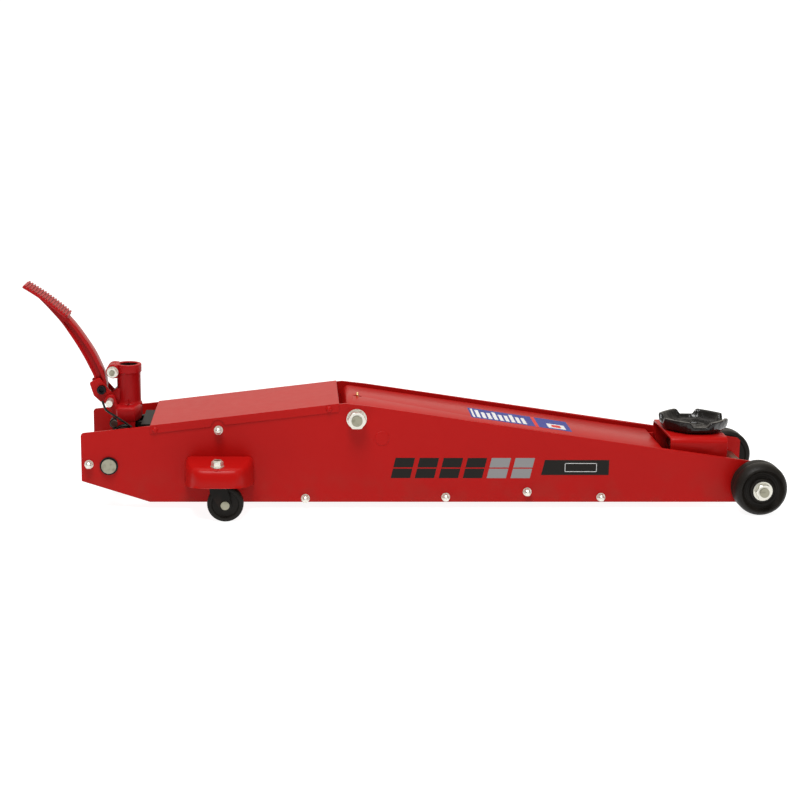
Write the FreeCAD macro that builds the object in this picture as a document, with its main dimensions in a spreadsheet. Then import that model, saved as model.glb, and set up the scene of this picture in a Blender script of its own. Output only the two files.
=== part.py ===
"""Long-chassis trolley jack with a foot pedal.

Millimetres.  +X points from the handle socket to the saddle, +Z is up, and
the origin is on the floor under the middle of the jack.  "left" is the +Y
side and "right" the -Y side, as seen by someone behind the handle socket.

Every driving dimension is a cell of the sheet "Dims".  Expressions are
written below with the bare cell names, and `bound` adds the sheet's name.
"""
import FreeCAD, Part
import math
import os
import re

import Sketcher

Vector = FreeCAD.Vector
Rotation = FreeCAD.Rotation
Placement = FreeCAD.Placement

DIMENSIONS = {
    # chassis side plates
    "half_width": 100, "plate_thick": 4, "chassis_rear": -595, "chassis_front": 679,
    "plate_floor_gap": 13.5, "plate_rear_top": 142.5, "plate_rear_low": 53, "plate_rear_rise": 123,
    "cover_rear": -471, "plate_shoulder_height": 156.3, "apex_at": -116, "apex_above_tube": 12.35,
    "plate_front_top": 83, "front_chamfer": 5, "plate_corner": 6, "apex_round": 22,
    # front axle and wheels
    "wheel_radius": 49.5, "axle_radius": 13, "journal_radius": 9,
    "wheel_gap": 4, "wheel_width": 50, "wheel_face_radius": 42.5, "wheel_shoulder": 12.5,
    "wheel_dish_radius": 35, "wheel_dish_depth": 14, "wheel_hub_radius": 19, "journal_past_face": 12,
    "axle_nut_across": 27, "axle_nut_thick": 9,
    # main pivot and lift arm
    "pivot_at": -94.4, "pivot_height": 171.8, "pivot_radius": 10, "running_gap": 0.05,
    "pivot_tube_wall": 5, "nipple_offset": 5, "nipple_seat": 0.15, "arm_sheet": 5,
   
    "arm_front_pin_height": 88, "arm_front_pin_radius": 10, "arm_end_radius": 19,
    "arm_top_drop": 5.5, "arm_depth": 84, "arm_side_gap": 0.5,
    "crank_length": 75, "crank_angle": -125, "crank_swing": 70, "crank_pin_radius": 10,
    "crank_inner": 28, "crank_thick": 8, "crank_boss": 15,
    # levelling rods and saddle bracket
    "rod_anchor_ahead": 47.4, "rod_anchor_below": 37, "rod_anchor_radius": 13.5,
    "rod_thick": 6, "rod_half_height": 11, "rod_eye": 22, "rod_front_eye": 16,
    "rod_pin_radius": 8, "open_pivot_gap": 0.3,
    "bracket_sheet": 5,
    "bracket_top": 132.4, "bracket_bend": 12,
    # saddle
    "saddle_radius": 65.6, "saddle_base_radius": 45,
    "saddle_floor": 7, "saddle_low_rim": 16.3, "saddle_lug_rise": 8.5, "saddle_wall": 5,
    "saddle_scallop": 46, "saddle_stem_radius": 12, "saddle_stem_drop": 16,
    # hydraulic unit
    "block_rear": -490, "block_front": -400, "block_half_width": 58, "block_floor": 36,
    "block_top": 150, "ear_inner": 20, "ear_thick": 12, "ram_radius": 20,
    "cylinder_wall": 13, "ram_side_gap": 2, "cylinder_front": -185, "gland_thick": 14,
    "oil_gap": 11, "reservoir_wall": 2.5, "reservoir_front": -196,
    "crosshead_wall": 9, "crosshead_half_width": 25, "slot_gap": 1.5, "crosshead_half_height": 30,
    "unit_shaft_at": -545, "unit_shaft_height": 82, "unit_shaft_radius": 13.5,
    "shaft_past_plate": 6,
    # handle socket
    "socket_pivot_at": -521, "socket_pivot_height": 127, "socket_shaft_radius": 8,
    "socket_bore": 16.8, "socket_radius": 21.65, "socket_floor": 176,
    "socket_shelf": 8, "socket_top": 253, "collar_radius": 23.5, "collar_height": 14.5,
    "yoke_inner": 34, "yoke_thick": 11, "lever_length": 28, "lever_angle": 245,
    "lever_half_width": 14, "roller_radius": 8, "roller_bore": 4, "plunger_radius": 6.5,
    "plunger_cap_radius": 8.7, "plunger_cap_thick": 5, "plunger_reach": 64,
    "plunger_stroke": 24, "contact_gap": 0.35, "spring_radius": 21, "spring_wire": 2.8,
    "clamp_bolt_radius": 5, "clamp_half_width": 20,
    # pedal
    "pedal_pin_radius": 6.2, "pedal_pin_reach": 58,
    "pedal_inner": 16, "pedal_sheet": 4,
    "pedal_bolt_radius": 5, "pedal_half_flange": 14, "pedal_web": 4, "pad_length": 98,
    "pad_half_width": 29, "pad_thick": 7, "pad_angle": 34,
    "pad_ribs": 16, "pad_rib_height": 2.2, "pad_rib_width": 2.6,
    # rear casters
    "caster_at": -345, "caster_trail": 14, "caster_radius": 32.7,
    "caster_width": 20, "caster_axle_radius": 4.3, "stud_radius": 6,
    "hood_top": 100, "hood_sheet": 4, "hood_root_half": 53, "hood_tip_half": 40,
    "hood_root_drop": 50, "hood_tip_drop": 34, "fork_crown": 68, "fork_sheet": 3.5,
    "fork_inner": 12, "fork_half_length": 15,
    # through bolts
    "tie_radius": 4, "tie_across": 13, "tie_nut_thick": 7, "tie_dome": 5, "tie_washer": 8,
    "tie_rear_at": -581, "tie_rear_height": 85, "tie_unit_at": -187, "tie_unit_height": 20.7,
    "tie_low_at": 73, "tie_low_height": 23.2, "tie_step_at": 225, "tie_step_height": 33.5,
    "tie_front_at": 364, "tie_front_height": 23.3, "stud_at": -346, "stud_height": 150,
    "screw_rear_at": -461, "screw_rear_height": 150, "screw_front_at": -145, "screw_front_height": 190,
    # gaps and setbacks that place one piece from another
    "arm_plate_gap": 10, "bracket_arm_gap": 3, "rod_bracket_gap": 7, "axle_setback": 23.3,
    "front_pin_setback": 144, "arm_top_setback": 47, "bracket_behind_pin": 38,
    "bracket_ahead_of_pin": 70, "saddle_ahead_of_pin": 21, "saddle_gap": 0.3,
    "caster_reach": 73, "hood_reach": 100, "socket_ahead_of_pivot": 4, "clamp_behind_axis": 27,
    "clamp_below_top": 14, "pedal_pin_behind_axis": 30.5, "pedal_pin_above_floor": 12,
    "pedal_bolt_behind_pin": 17, "pedal_bolt_above_pin": 19, "pad_behind_bolt": 57.5,
    "pad_above_bolt": 140, "cover_behind_apex": 10.6,
    "washer_thick": 1.6, "cover_sheet": 1.5, "cover_flange": 14,
}
# Sizes and places that follow from the cells above.
DERIVED = {
    "apex_height": "pivot_height + pivot_radius + running_gap + pivot_tube_wall + apex_above_tube",
    "cylinder_bore": "ram_radius + ram_side_gap",
    "cylinder_radius": "cylinder_bore + cylinder_wall",
    "reservoir_radius": "cylinder_radius + oil_gap",
    "arm_half_width": "half_width - plate_thick - arm_plate_gap",
    "bracket_half_width": "arm_half_width - arm_sheet - bracket_arm_gap",
    "rod_inner": "bracket_half_width - bracket_sheet - rod_bracket_gap - rod_thick",
    "front_axle_at": "chassis_front - axle_setback",
    "arm_front_pin_at": "chassis_front - front_pin_setback",
    "arm_top_end": "arm_front_pin_at - arm_top_setback",
    "bracket_rear": "arm_front_pin_at - bracket_behind_pin",
    "bracket_front": "arm_front_pin_at + bracket_ahead_of_pin",
    "saddle_at": "arm_front_pin_at + saddle_ahead_of_pin",
    "saddle_base_height": "bracket_top + saddle_gap",
    "ram_height": "pivot_height - crank_length * (1 - sin(crank_angle * 1 deg)) / 2",
    "socket_axis_at": "socket_pivot_at + socket_ahead_of_pivot",
    "plunger_height": "socket_pivot_height - lever_length * (1 - sin(lever_angle * 1 deg)) / 2",
    "clamp_at": "socket_axis_at - clamp_behind_axis",
    "clamp_height": "socket_top - clamp_below_top",
    "pedal_pin_at": "socket_axis_at - pedal_pin_behind_axis",
    "pedal_pin_height": "socket_floor + pedal_pin_above_floor",
    "pedal_bolt_at": "pedal_pin_at - pedal_bolt_behind_pin",
    "pedal_bolt_height": "pedal_pin_height + pedal_bolt_above_pin",
    "pad_low_at": "pedal_bolt_at - pad_behind_bolt",
    "pad_low_height": "pedal_bolt_height + pad_above_bolt",
    "caster_out": "half_width + caster_reach",
    "bracket_out": "half_width + hood_reach",
    "cover_front": "apex_at - cover_behind_apex",
}
TIES = ("rear", "unit", "low", "step", "front")

PLATE_IN = "half_width - plate_thick"
ROD_ANCHOR_X = "pivot_at + rod_anchor_ahead"
ROD_ANCHOR_Z = "pivot_height - rod_anchor_below"
ROD_PIN_X = "arm_front_pin_at + rod_anchor_ahead"
ROD_PIN_Z = "arm_front_pin_height - rod_anchor_below"
CRANK_X = "pivot_at + crank_length * cos(crank_angle * 1 deg)"
CRANK_Z = "pivot_height + crank_length * sin(crank_angle * 1 deg)"
TUBE_RADIUS = "pivot_radius + running_gap + pivot_tube_wall"
ROLLER_X = "socket_pivot_at + lever_length * cos(lever_angle * 1 deg)"
ROLLER_Z = "socket_pivot_height + lever_length * sin(lever_angle * 1 deg)"
HUB_FACE = "half_width + wheel_gap + wheel_width"

doc = FreeCAD.newDocument("trolley_jack")
sheet = doc.addObject("Spreadsheet::Sheet", "Dims")
for row, (alias, value) in enumerate(DIMENSIONS.items(), start=1):
    sheet.set("A%d" % row, alias)
    sheet.set("B%d" % row, str(value))
    sheet.setAlias("B%d" % row, alias)
doc.recompute()
NODES = []
SIDES = ((-1, "right"), (1, "left"))
AXIS_OUT = {-1: "-Y", 1: "+Y"}


def bound(text):
    """Write an expression in terms of the sheet's cells."""
    def spell(found):
        name = found.group(0)
        return "(%s)" % bound(DERIVED[name]) if name in DERIVED else "Dims." + name
    return re.sub(r"\b[a-z]+(?:_[a-z]+)+\b", spell, str(text))


def number(text):
    """The value of an expression now."""
    value = sheet.evalExpression(bound(text))
    return float(getattr(value, "Value", value))


def node(thing, label):
    """Mark an object as the sub-part that is written to parts/LABEL.step."""
    thing.Label = label
    NODES.append(thing)
    return thing


def moved(thing, at, turn=None):
    """Bind an object's place to three expressions, after an optional turn."""
    thing.Placement = Placement(Vector(*[number(a) for a in at]), turn or Rotation())
    for letter, text in zip("xyz", at):
        thing.setExpression("Placement.Base." + letter, bound(text))
    return thing


def joined(name, things):
    """Fuse several solids into one."""
    fuse = doc.addObject("Part::MultiFuse", name)
    fuse.Shapes = things
    fuse.Refine = True
    return fuse


def cut(name, base, tools):
    """Take the tools away from the base."""
    for order, tool in enumerate(tools):
        less = doc.addObject("Part::Cut", "%s_cut%d" % (name, order))
        less.Base = base
        less.Tool = tool
        base = less
    return base


def common(name, first, second):
    """Keep what two solids share."""
    both = doc.addObject("Part::MultiCommon", name)
    both.Shapes = [first, second]
    return both


def group(things, label):
    """Several separate solids that share one node."""
    pack = doc.addObject("Part::Compound", label)
    pack.Links = things
    return node(pack, label)


def fix_point(sketch, index, position, u, v, tag):
    """Bind one sketch point to a pair of expressions."""
    for kind, text in (("DistanceX", u), ("DistanceY", v)):
        value = number(text)
        at = sketch.addConstraint(Sketcher.Constraint(kind, -1, 1, index, position, value))
        name = "%s_%s" % (tag, kind[-1])
        sketch.renameConstraint(at, name)
        sketch.setExpression("Constraints." + name, bound(text))


def fix_radius(sketch, index, text, tag):
    """Bind the radius of an arc or circle."""
    at = sketch.addConstraint(Sketcher.Constraint("Radius", index, number(text)))
    sketch.renameConstraint(at, tag)
    sketch.setExpression("Constraints." + tag, bound(text))


def corner_arc(before, here, after, radius):
    """Start, end, arc and turning sense of a rounded corner."""
    back = (before - here).normalize()
    ahead = (after - here).normalize()
    half = back.getAngle(ahead) / 2
    reach = radius / math.tan(half)
    start = here + back * reach
    end = here + ahead * reach
    middle = here + (back + ahead).normalize() * (radius / math.sin(half))
    left_turn = (here - before).cross(after - here).z > 0
    first, last = (start, end) if left_turn else (end, start)
    angle_a = math.atan2(first.y - middle.y, first.x - middle.x)
    angle_b = math.atan2(last.y - middle.y, last.x - middle.x)
    circle = Part.Circle(middle, Vector(0, 0, 1), radius)
    return start, end, Part.ArcOfCircle(circle, angle_a, angle_b), left_turn


def draw_outline(sketch, points):
    """A closed outline of straight sides, bound to the sheet.

    Each point is (u, v) or (u, v, radius), all of them expressions.
    """
    places = [Vector(number(p[0]), number(p[1]), 0) for p in points]
    count = len(points)
    starts, ends, arcs = {}, {}, {}
    for i, point in enumerate(points):
        if len(point) == 3:
            before, after = places[i - 1], places[(i + 1) % count]
            starts[i], ends[i], *arcs[i] = corner_arc(before, places[i], after, number(point[2]))
    sides = []
    for i in range(count):
        j = (i + 1) % count
        segment = Part.LineSegment(ends.get(i, places[i]), starts.get(j, places[j]))
        sides.append(sketch.addGeometry(segment, False))
    for i, point in enumerate(points):
        incoming, outgoing = sides[i - 1], sides[i]
        if i not in arcs:
            sketch.addConstraint(Sketcher.Constraint("Coincident", incoming, 2, outgoing, 1))
            fix_point(sketch, outgoing, 1, point[0], point[1], "p%d" % i)
            continue
        arc = sketch.addGeometry(arcs[i][0], False)
        first, last = (1, 2) if arcs[i][1] else (2, 1)
        corner = sketch.addGeometry(Part.Point(places[i]), True)
        fix_point(sketch, corner, 1, point[0], point[1], "p%d" % i)
        sketch.addConstraint(Sketcher.Constraint("PointOnObject", corner, 1, incoming))
        sketch.addConstraint(Sketcher.Constraint("PointOnObject", corner, 1, outgoing))
        sketch.addConstraint(Sketcher.Constraint("Tangent", incoming, 2, arc, first))
        sketch.addConstraint(Sketcher.Constraint("Tangent", arc, last, outgoing, 1))
        fix_radius(sketch, arc, point[2], "r%d" % i)


def draw_holes(sketch, holes):
    """Circles, each (u, v, radius)."""
    for i, (u, v, radius) in enumerate(holes):
        circle = Part.Circle(Vector(number(u), number(v), 0), Vector(0, 0, 1), number(radius))
        at = sketch.addGeometry(circle, False)
        fix_point(sketch, at, 3, u, v, "h%d" % i)
        fix_radius(sketch, at, radius, "hr%d" % i)


def new_sketch(body, plane, name):
    """A sketch on one of the body's own origin planes."""
    sketch = body.newObject("Sketcher::SketchObject", name)
    face = [f for f in body.Origin.OriginFeatures if f.Role == plane + "_Plane"][0]
    sketch.AttachmentSupport = [(face, "")]
    sketch.MapMode = "FlatFace"
    return sketch


def padded(name, plane, points, start, end, holes=()):
    """A flat piece: an outline pushed from one coordinate to another.

    An XZ outline is pushed along Y, an XY outline along Z, a YZ one along X.
    """
    body = doc.addObject("PartDesign::Body", name)
    sketch = new_sketch(body, plane, name + "_outline")
    if plane == "XZ":
        sketch.setExpression("AttachmentOffset.Base.z", bound("-(%s)" % end))
    else:
        sketch.setExpression("AttachmentOffset.Base.z", bound(start))
    draw_outline(sketch, points)
    draw_holes(sketch, holes)
    pad = body.newObject("PartDesign::Pad", name + "_pad")
    pad.Profile = sketch
    pad.setExpression("Length", bound("(%s) - (%s)" % (end, start)))
    return body


TURNS = {
    "+X": Rotation(Vector(0, 1, 0), 90), "-X": Rotation(Vector(0, 1, 0), -90),
    "+Y": Rotation(Vector(1, 0, 0), -90), "-Y": Rotation(Vector(1, 0, 0), 90),
    "+Z": Rotation(), "-Z": Rotation(Vector(1, 0, 0), 180),
}


def turned(name, axis, at, profile):
    """A round piece: (radius, along) points revolved about an axis."""
    body = doc.addObject("PartDesign::Body", name)
    sketch = new_sketch(body, "XZ", name + "_profile")
    draw_outline(sketch, profile)
    spin = body.newObject("PartDesign::Revolution", name + "_spin")
    spin.Profile = sketch
    spin.ReferenceAxis = (sketch, ["V_Axis"])
    spin.Angle = 360
    return moved(body, at, TURNS[axis])


def tube(name, axis, at, inner, outer, length):
    """A plain ring or sleeve."""
    return turned(name, axis, at, [(inner, 0), (outer, 0), (outer, length), (inner, length)])


def rod(name, axis, at, radius, length):
    """A plain round bar."""
    bar = doc.addObject("Part::Cylinder", name)
    bar.setExpression("Radius", bound(radius))
    bar.setExpression("Height", bound(length))
    return moved(bar, at, TURNS[axis])


def block(name, low, high):
    """A box between two corners."""
    box = doc.addObject("Part::Box", name)
    for size, a, b in zip(("Length", "Width", "Height"), low, high):
        box.setExpression(size, bound("(%s) - (%s)" % (b, a)))
    return moved(box, low)


def hexagon(name, axis, at, across, thick):
    """A hexagonal prism, sized across its flats."""
    prism = doc.addObject("Part::Prism", name)
    prism.Polygon = 6
    prism.setExpression("Circumradius", bound("(%s) / sqrt(3)" % across))
    prism.setExpression("Height", bound(thick))
    return moved(prism, at, TURNS[axis])


def hex_nut(name, axis, at, across, thick, bore):
    """A nut with its corners turned down, over a bore."""
    body = hexagon(name + "_hex", axis, at, across, thick)
    reach = "(%s) / 2 + 0.4" % across
    crown = "(%s) * 0.58" % across
    shell = turned(name + "_crown", axis, at, [
        (bore, 0), (crown, 0), (crown, "(%s) - 1.6" % thick), (reach, thick), (bore, thick)])
    return common(name, body, shell)


def acorn(name, side, x, z):
    """A washer and a domed nut against the outside of one plate."""
    axis = AXIS_OUT[side]
    at = lambda out: (x, "%d * (half_width + %s)" % (side, out), z)
    washer = tube(name + "_washer", axis, at("0"), "tie_radius", "tie_washer", "washer_thick")
    nut = hex_nut(name + "_nut", axis, at("washer_thick"), "tie_across", "tie_nut_thick", "tie_radius")
    dome = turned(name + "_dome", axis, at("washer_thick + tie_nut_thick"), [
        (0, 0.4), ("tie_radius", 0.4), ("tie_radius", 0), ("tie_across / 2 - 0.6", 0),
        ("tie_across / 2 - 0.6", "tie_dome - 3", 2), ("tie_radius - 1", "tie_dome", 2),
        (0, "tie_dome")])
    return joined(name, [washer, nut, dome])


def side_plate(label, start, end):
    """One of the two long chassis plates."""
    outline = [
        ("chassis_rear", "plate_rear_low"),
        ("chassis_rear + plate_rear_rise", "plate_floor_gap"),
        ("chassis_front", "plate_floor_gap"),
        ("chassis_front", "plate_front_top"),
        ("chassis_front - front_chamfer", "plate_front_top + front_chamfer"),
        ("chassis_front - 35", "plate_front_top + 10"),
        ("chassis_front - 246", "plate_front_top + 38.6"),
        ("apex_at + 47.4", "apex_height - 4.3"),
        ("apex_at", "apex_height + 1", "apex_round"),
        ("cover_rear", "plate_shoulder_height"),
        ("chassis_rear", "plate_rear_top", "plate_corner"),
    ]
    holes = [("tie_%s_at" % tie, "tie_%s_height" % tie, "tie_radius") for tie in TIES]
    holes += [
        ("stud_at", "stud_height", "tie_radius"),
        ("pivot_at", "pivot_height", "pivot_radius"),
        (ROD_ANCHOR_X, ROD_ANCHOR_Z, "rod_anchor_radius"),
        ("front_axle_at", "wheel_radius", "axle_radius"),
        ("unit_shaft_at", "unit_shaft_height", "unit_shaft_radius"),
    ]
    node(padded(label, "XZ", outline, start, end, holes), label)


def chassis():
    """Plates, ties, axle and the pins that the linkage turns on."""
    side_plate("side_plate_right", "-half_width", "-(%s)" % PLATE_IN)
    side_plate("side_plate_left", PLATE_IN, "half_width")
    wide = "2 * (%s)" % PLATE_IN
    front = block("front_cross", ("chassis_front - 209", "-(%s)" % PLATE_IN, "plate_floor_gap"),
                  ("chassis_front - 119", PLATE_IN, "plate_floor_gap + plate_thick"))
    rear = block("rear_cross", ("block_rear + 10", "-(%s)" % PLATE_IN, "block_floor - 6"),
                 ("block_front + 100", PLATE_IN, "block_floor"))
    group([front, rear], "cross_plates")

    ties = [rod("tie_" + tie, "+Y", ("tie_%s_at" % tie, "-half_width - washer_thick - tie_nut_thick",
                                     "tie_%s_height" % tie),
                "tie_radius", "2 * (half_width + washer_thick + tie_nut_thick)") for tie in TIES]
    nuts = []
    for side, name in SIDES:
        axis = AXIS_OUT[side]
        nuts += [acorn("nut_%s_%s" % (tie, name), side, "tie_%s_at" % tie, "tie_%s_height" % tie)
                 for tie in TIES]
        seat = ("stud_at", "%d * (%s - 6)" % (side, PLATE_IN), "stud_height")
        head = rod("stud_head_" + name, axis, seat, "tie_washer", 6)
        shank = rod("stud_shank_" + name, axis, seat, "tie_radius",
                    "plate_thick + 6 + washer_thick + tie_nut_thick")
        ties.append(joined("stud_whole_" + name, [head, shank]))
        nuts.append(acorn("nut_stud_" + name, side, "stud_at", "stud_height"))
    group(ties, "tie_rods")
    group(nuts, "acorn_nuts")

    journal = "wheel_gap + wheel_width + journal_past_face"
    node(turned("front_axle", "+Y", ("front_axle_at", 0, "wheel_radius"), [
        (0, "-half_width - (%s)" % journal), ("journal_radius", "-half_width - (%s)" % journal),
        ("journal_radius", "-half_width"), ("axle_radius", "-half_width"),
        ("axle_radius", "half_width"), ("journal_radius", "half_width"),
        ("journal_radius", "half_width + (%s)" % journal), (0, "half_width + (%s)" % journal)]),
        "front_axle")
    washers, nuts = [], []
    for side, name in SIDES:
        axis = AXIS_OUT[side]
        at = lambda out: ("front_axle_at", "%d * (%s)" % (side, out), "wheel_radius")
        washers.append(tube("axle_spacer_" + name, axis, at("half_width"), "journal_radius",
                            "wheel_hub_radius - 3", "wheel_gap - contact_gap"))
        washers.append(tube("axle_washer_" + name, axis, at(HUB_FACE + " - 3 + contact_gap"),
                            "journal_radius", "wheel_hub_radius - 1", "3 - contact_gap"))
        nuts.append(hex_nut("axle_nut_" + name, axis, at(HUB_FACE), "axle_nut_across",
                            "axle_nut_thick", "journal_radius"))
    group(washers, "axle_washers")
    group(nuts, "axle_nuts")

    reach = "half_width + 3 + 16"
    node(turned("pivot_bolt", "+Y", ("pivot_at", 0, "pivot_height"), [
        (0, "-(%s) - 3" % reach), ("pivot_radius", "-(%s) - 3" % reach),
        ("pivot_radius", "half_width + 3"), ("pivot_radius + 5", "half_width + 3"),
        ("pivot_radius + 5", reach), (0, reach)]), "pivot_bolt")
    node(hex_nut("pivot_nut", "-Y", ("pivot_at", "-half_width - 3", "pivot_height"),
                 30, 16, "pivot_radius"), "pivot_nut")
    group([tube("pivot_washer_r", "-Y", ("pivot_at", "-half_width", "pivot_height"),
                "pivot_radius", 18.5, 3),
           tube("pivot_washer_l", "+Y", ("pivot_at", "half_width", "pivot_height"),
                "pivot_radius", 18.5, 3)], "pivot_washers")
    group([rod("rod_anchor_l", "+Y", (ROD_ANCHOR_X, "rod_inner - 2", ROD_ANCHOR_Z),
               "rod_anchor_radius", "half_width + 0.6 - rod_inner + 2"),
           rod("rod_anchor_r", "-Y", (ROD_ANCHOR_X, "-rod_inner + 2", ROD_ANCHOR_Z),
               "rod_anchor_radius", "half_width + 0.6 - rod_inner + 2")], "rod_anchors")


def cover_line(x, lift):
    """Height of the plates' rear top edge at x, plus a lift."""
    slope = "((apex_height + 1 - plate_shoulder_height) / (apex_at - cover_rear))"
    return "plate_shoulder_height + (%s - cover_rear) * %s + (%s)" % (x, slope, lift)


def rear_cover():
    """A thin lid over the hydraulic unit, folded down over both plates."""
    ends = ("cover_rear + 1", "cover_front")
    top = padded("cover_top", "XZ", [
        (ends[0], cover_line(ends[0], 0)), (ends[1], cover_line(ends[1], 0)),
        (ends[1], cover_line(ends[1], "cover_sheet")), (ends[0], cover_line(ends[0], "cover_sheet"))],
        "-half_width - cover_sheet", "half_width + cover_sheet")
    sides = []
    for name, start, end in (("cover_right", "-half_width - cover_sheet", "-half_width"),
                             ("cover_left", "half_width", "half_width + cover_sheet")):
        flange = padded(name, "XZ", [
            (ends[0], cover_line(ends[0], "-cover_flange")),
            (ends[1], cover_line(ends[1], "-cover_flange")),
            (ends[1], cover_line(ends[1], "cover_sheet")),
            (ends[0], cover_line(ends[0], "cover_sheet"))], start, end)
        hole = rod(name + "_notch", "+Y", ("stud_at", start, "stud_height"), "tie_washer + 3.5",
                   "cover_sheet")
        sides.append(cut(name + "_open", flange, [hole]))
    node(joined("rear_cover", [top] + sides), "rear_cover")
    screws = []
    for end in ("rear", "front"):
        for side, name in SIDES:
            at = ("screw_%s_at" % end, "%d * (half_width + cover_sheet)" % side,
                  "screw_%s_height" % end)
            screws.append(turned("screw_%s_%s" % (end, name), AXIS_OUT[side], at, [
                (0, 0), (5.5, 0), (5.5, 1.2), (3, 3), (0, 3)]))
    group(screws, "cover_screws")


def hydraulic_unit():
    """Pump block, cylinder, reservoir and the shaft that holds them."""
    body = block("block_body", ("block_rear", "-block_half_width", "block_floor"),
                 ("block_front", "block_half_width", "block_top"))
    ears = []
    for side in (-1, 1):
        low = "ear_inner" if side > 0 else "-ear_inner - ear_thick"
        high = "ear_inner + ear_thick" if side > 0 else "-ear_inner"
        ears.append(padded("ear_%s" % "rl"[side > 0], "XZ", [
            ("block_rear + 1", "block_top - 2"), ("socket_pivot_at - 14", "block_top - 2", 8),
            ("unit_shaft_at - 23", "unit_shaft_height + 12", 10),
            ("unit_shaft_at - 23", "unit_shaft_height - 20", 12),
            ("block_rear + 1", "unit_shaft_height - 26")], low, high, [
            ("socket_pivot_at", "socket_pivot_height", "socket_shaft_radius + running_gap"),
            ("unit_shaft_at", "unit_shaft_height", "unit_shaft_radius")]))
    whole = joined("block_whole", [body] + ears)
    bore = rod("plunger_bore", "+X", ("block_rear - 2", 0, "plunger_height"),
               "plunger_radius + running_gap", "plunger_reach + 8")
    seat = rod("spring_seat", "+X", ("block_rear - 2", 0, "plunger_height"),
               "plunger_cap_radius + 1.5", 12)
    valve = rod("valve_bore", "+X", ("block_rear - 2", 0, "block_top - 14"), "5 + running_gap", 30)
    node(cut("pump_block", whole, [bore, seat, valve]), "pump_block")
    node(joined("release_valve", [
        rod("valve_stem", "+X", ("block_rear - 6", 0, "block_top - 14"), 5, 30),
        hexagon("valve_head", "+X", ("block_rear - 13", 0, "block_top - 14"), 11, 7)]),
        "release_valve")

    axis = ("block_front", 0, "ram_height")
    length = "cylinder_front - block_front"
    node(turned("cylinder", "+X", axis, [
        (0, 0), ("cylinder_radius", 0), ("cylinder_radius", length), ("cylinder_bore", length),
        ("cylinder_bore", 10), (0, 10)]), "cylinder")
    node(turned("gland_nut", "+X", ("cylinder_front", 0, "ram_height"), [
        ("ram_radius + running_gap", 0), ("cylinder_radius - 3", 0),
        ("cylinder_radius - 3", "gland_thick", 2), ("ram_radius + running_gap", "gland_thick")]),
        "gland_nut")
    shell = "reservoir_front - block_front"
    skin = turned("reservoir_skin", "+X", axis, [
        ("reservoir_radius - reservoir_wall", 0), ("reservoir_radius", 0),
        ("reservoir_radius", shell, 6), ("cylinder_radius", shell),
        ("cylinder_radius", "(%s) - 6" % shell),
        ("reservoir_radius - reservoir_wall", "(%s) - 6" % shell)])
    filler = rod("filler_hole", "+Z", ("block_front + 105", 0, "ram_height + reservoir_radius - 8"), 5, 16)
    node(cut("reservoir", skin, [filler]), "reservoir")
    node(turned("filler_plug", "+Z", ("block_front + 105", 0, "ram_height + reservoir_radius - 1.5"), [
        (0, 0), (5, 0), (5, 1.5), (8, 1.5), (8, 6, 1.5), (0, 6)]), "filler_plug")

    node(rod("unit_shaft", "+Y", ("unit_shaft_at", "-half_width - shaft_past_plate",
             "unit_shaft_height"), "unit_shaft_radius", "2 * (half_width + shaft_past_plate)"),
         "unit_shaft")
    group([tube("shaft_clip_l", "+Y", ("unit_shaft_at", "half_width + 1", "unit_shaft_height"),
                "unit_shaft_radius", "unit_shaft_radius + 3", 2),
           tube("shaft_clip_r", "-Y", ("unit_shaft_at", "-half_width - 1", "unit_shaft_height"),
                "unit_shaft_radius", "unit_shaft_radius + 3", 2)], "shaft_circlips")

    pin = "crank_pin_radius + slot_gap"
    rear = "(%s) - (%s) - crosshead_wall" % (CRANK_X, pin)
    node(turned("ram", "+X", ("block_front + 14", 0, "ram_height"), [
        (0, 0), ("cylinder_bore - 0.3", 0), ("cylinder_bore - 0.3", 9), ("ram_radius", 9),
        ("ram_radius", "(%s) - block_front - 14" % rear), (0, "(%s) - block_front - 14" % rear)]),
        "ram")
    head = block("crosshead_body",
                 (rear, "-crosshead_half_width", "ram_height - crosshead_half_height"),
                 ("(%s) + (%s) + crosshead_wall" % (CRANK_X, pin), "crosshead_half_width",
                  "ram_height + crosshead_half_height"))
    slot = block("crosshead_slot",
                 ("(%s) - (%s)" % (CRANK_X, pin), "-crosshead_half_width - 1",
                  "pivot_height - crank_length - crank_pin_radius - 2"),
                 ("(%s) + (%s)" % (CRANK_X, pin), "crosshead_half_width + 1",
                  "(%s) + crank_pin_radius + 2" % CRANK_Z))
    node(cut("crosshead", head, [slot]), "crosshead")


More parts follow.
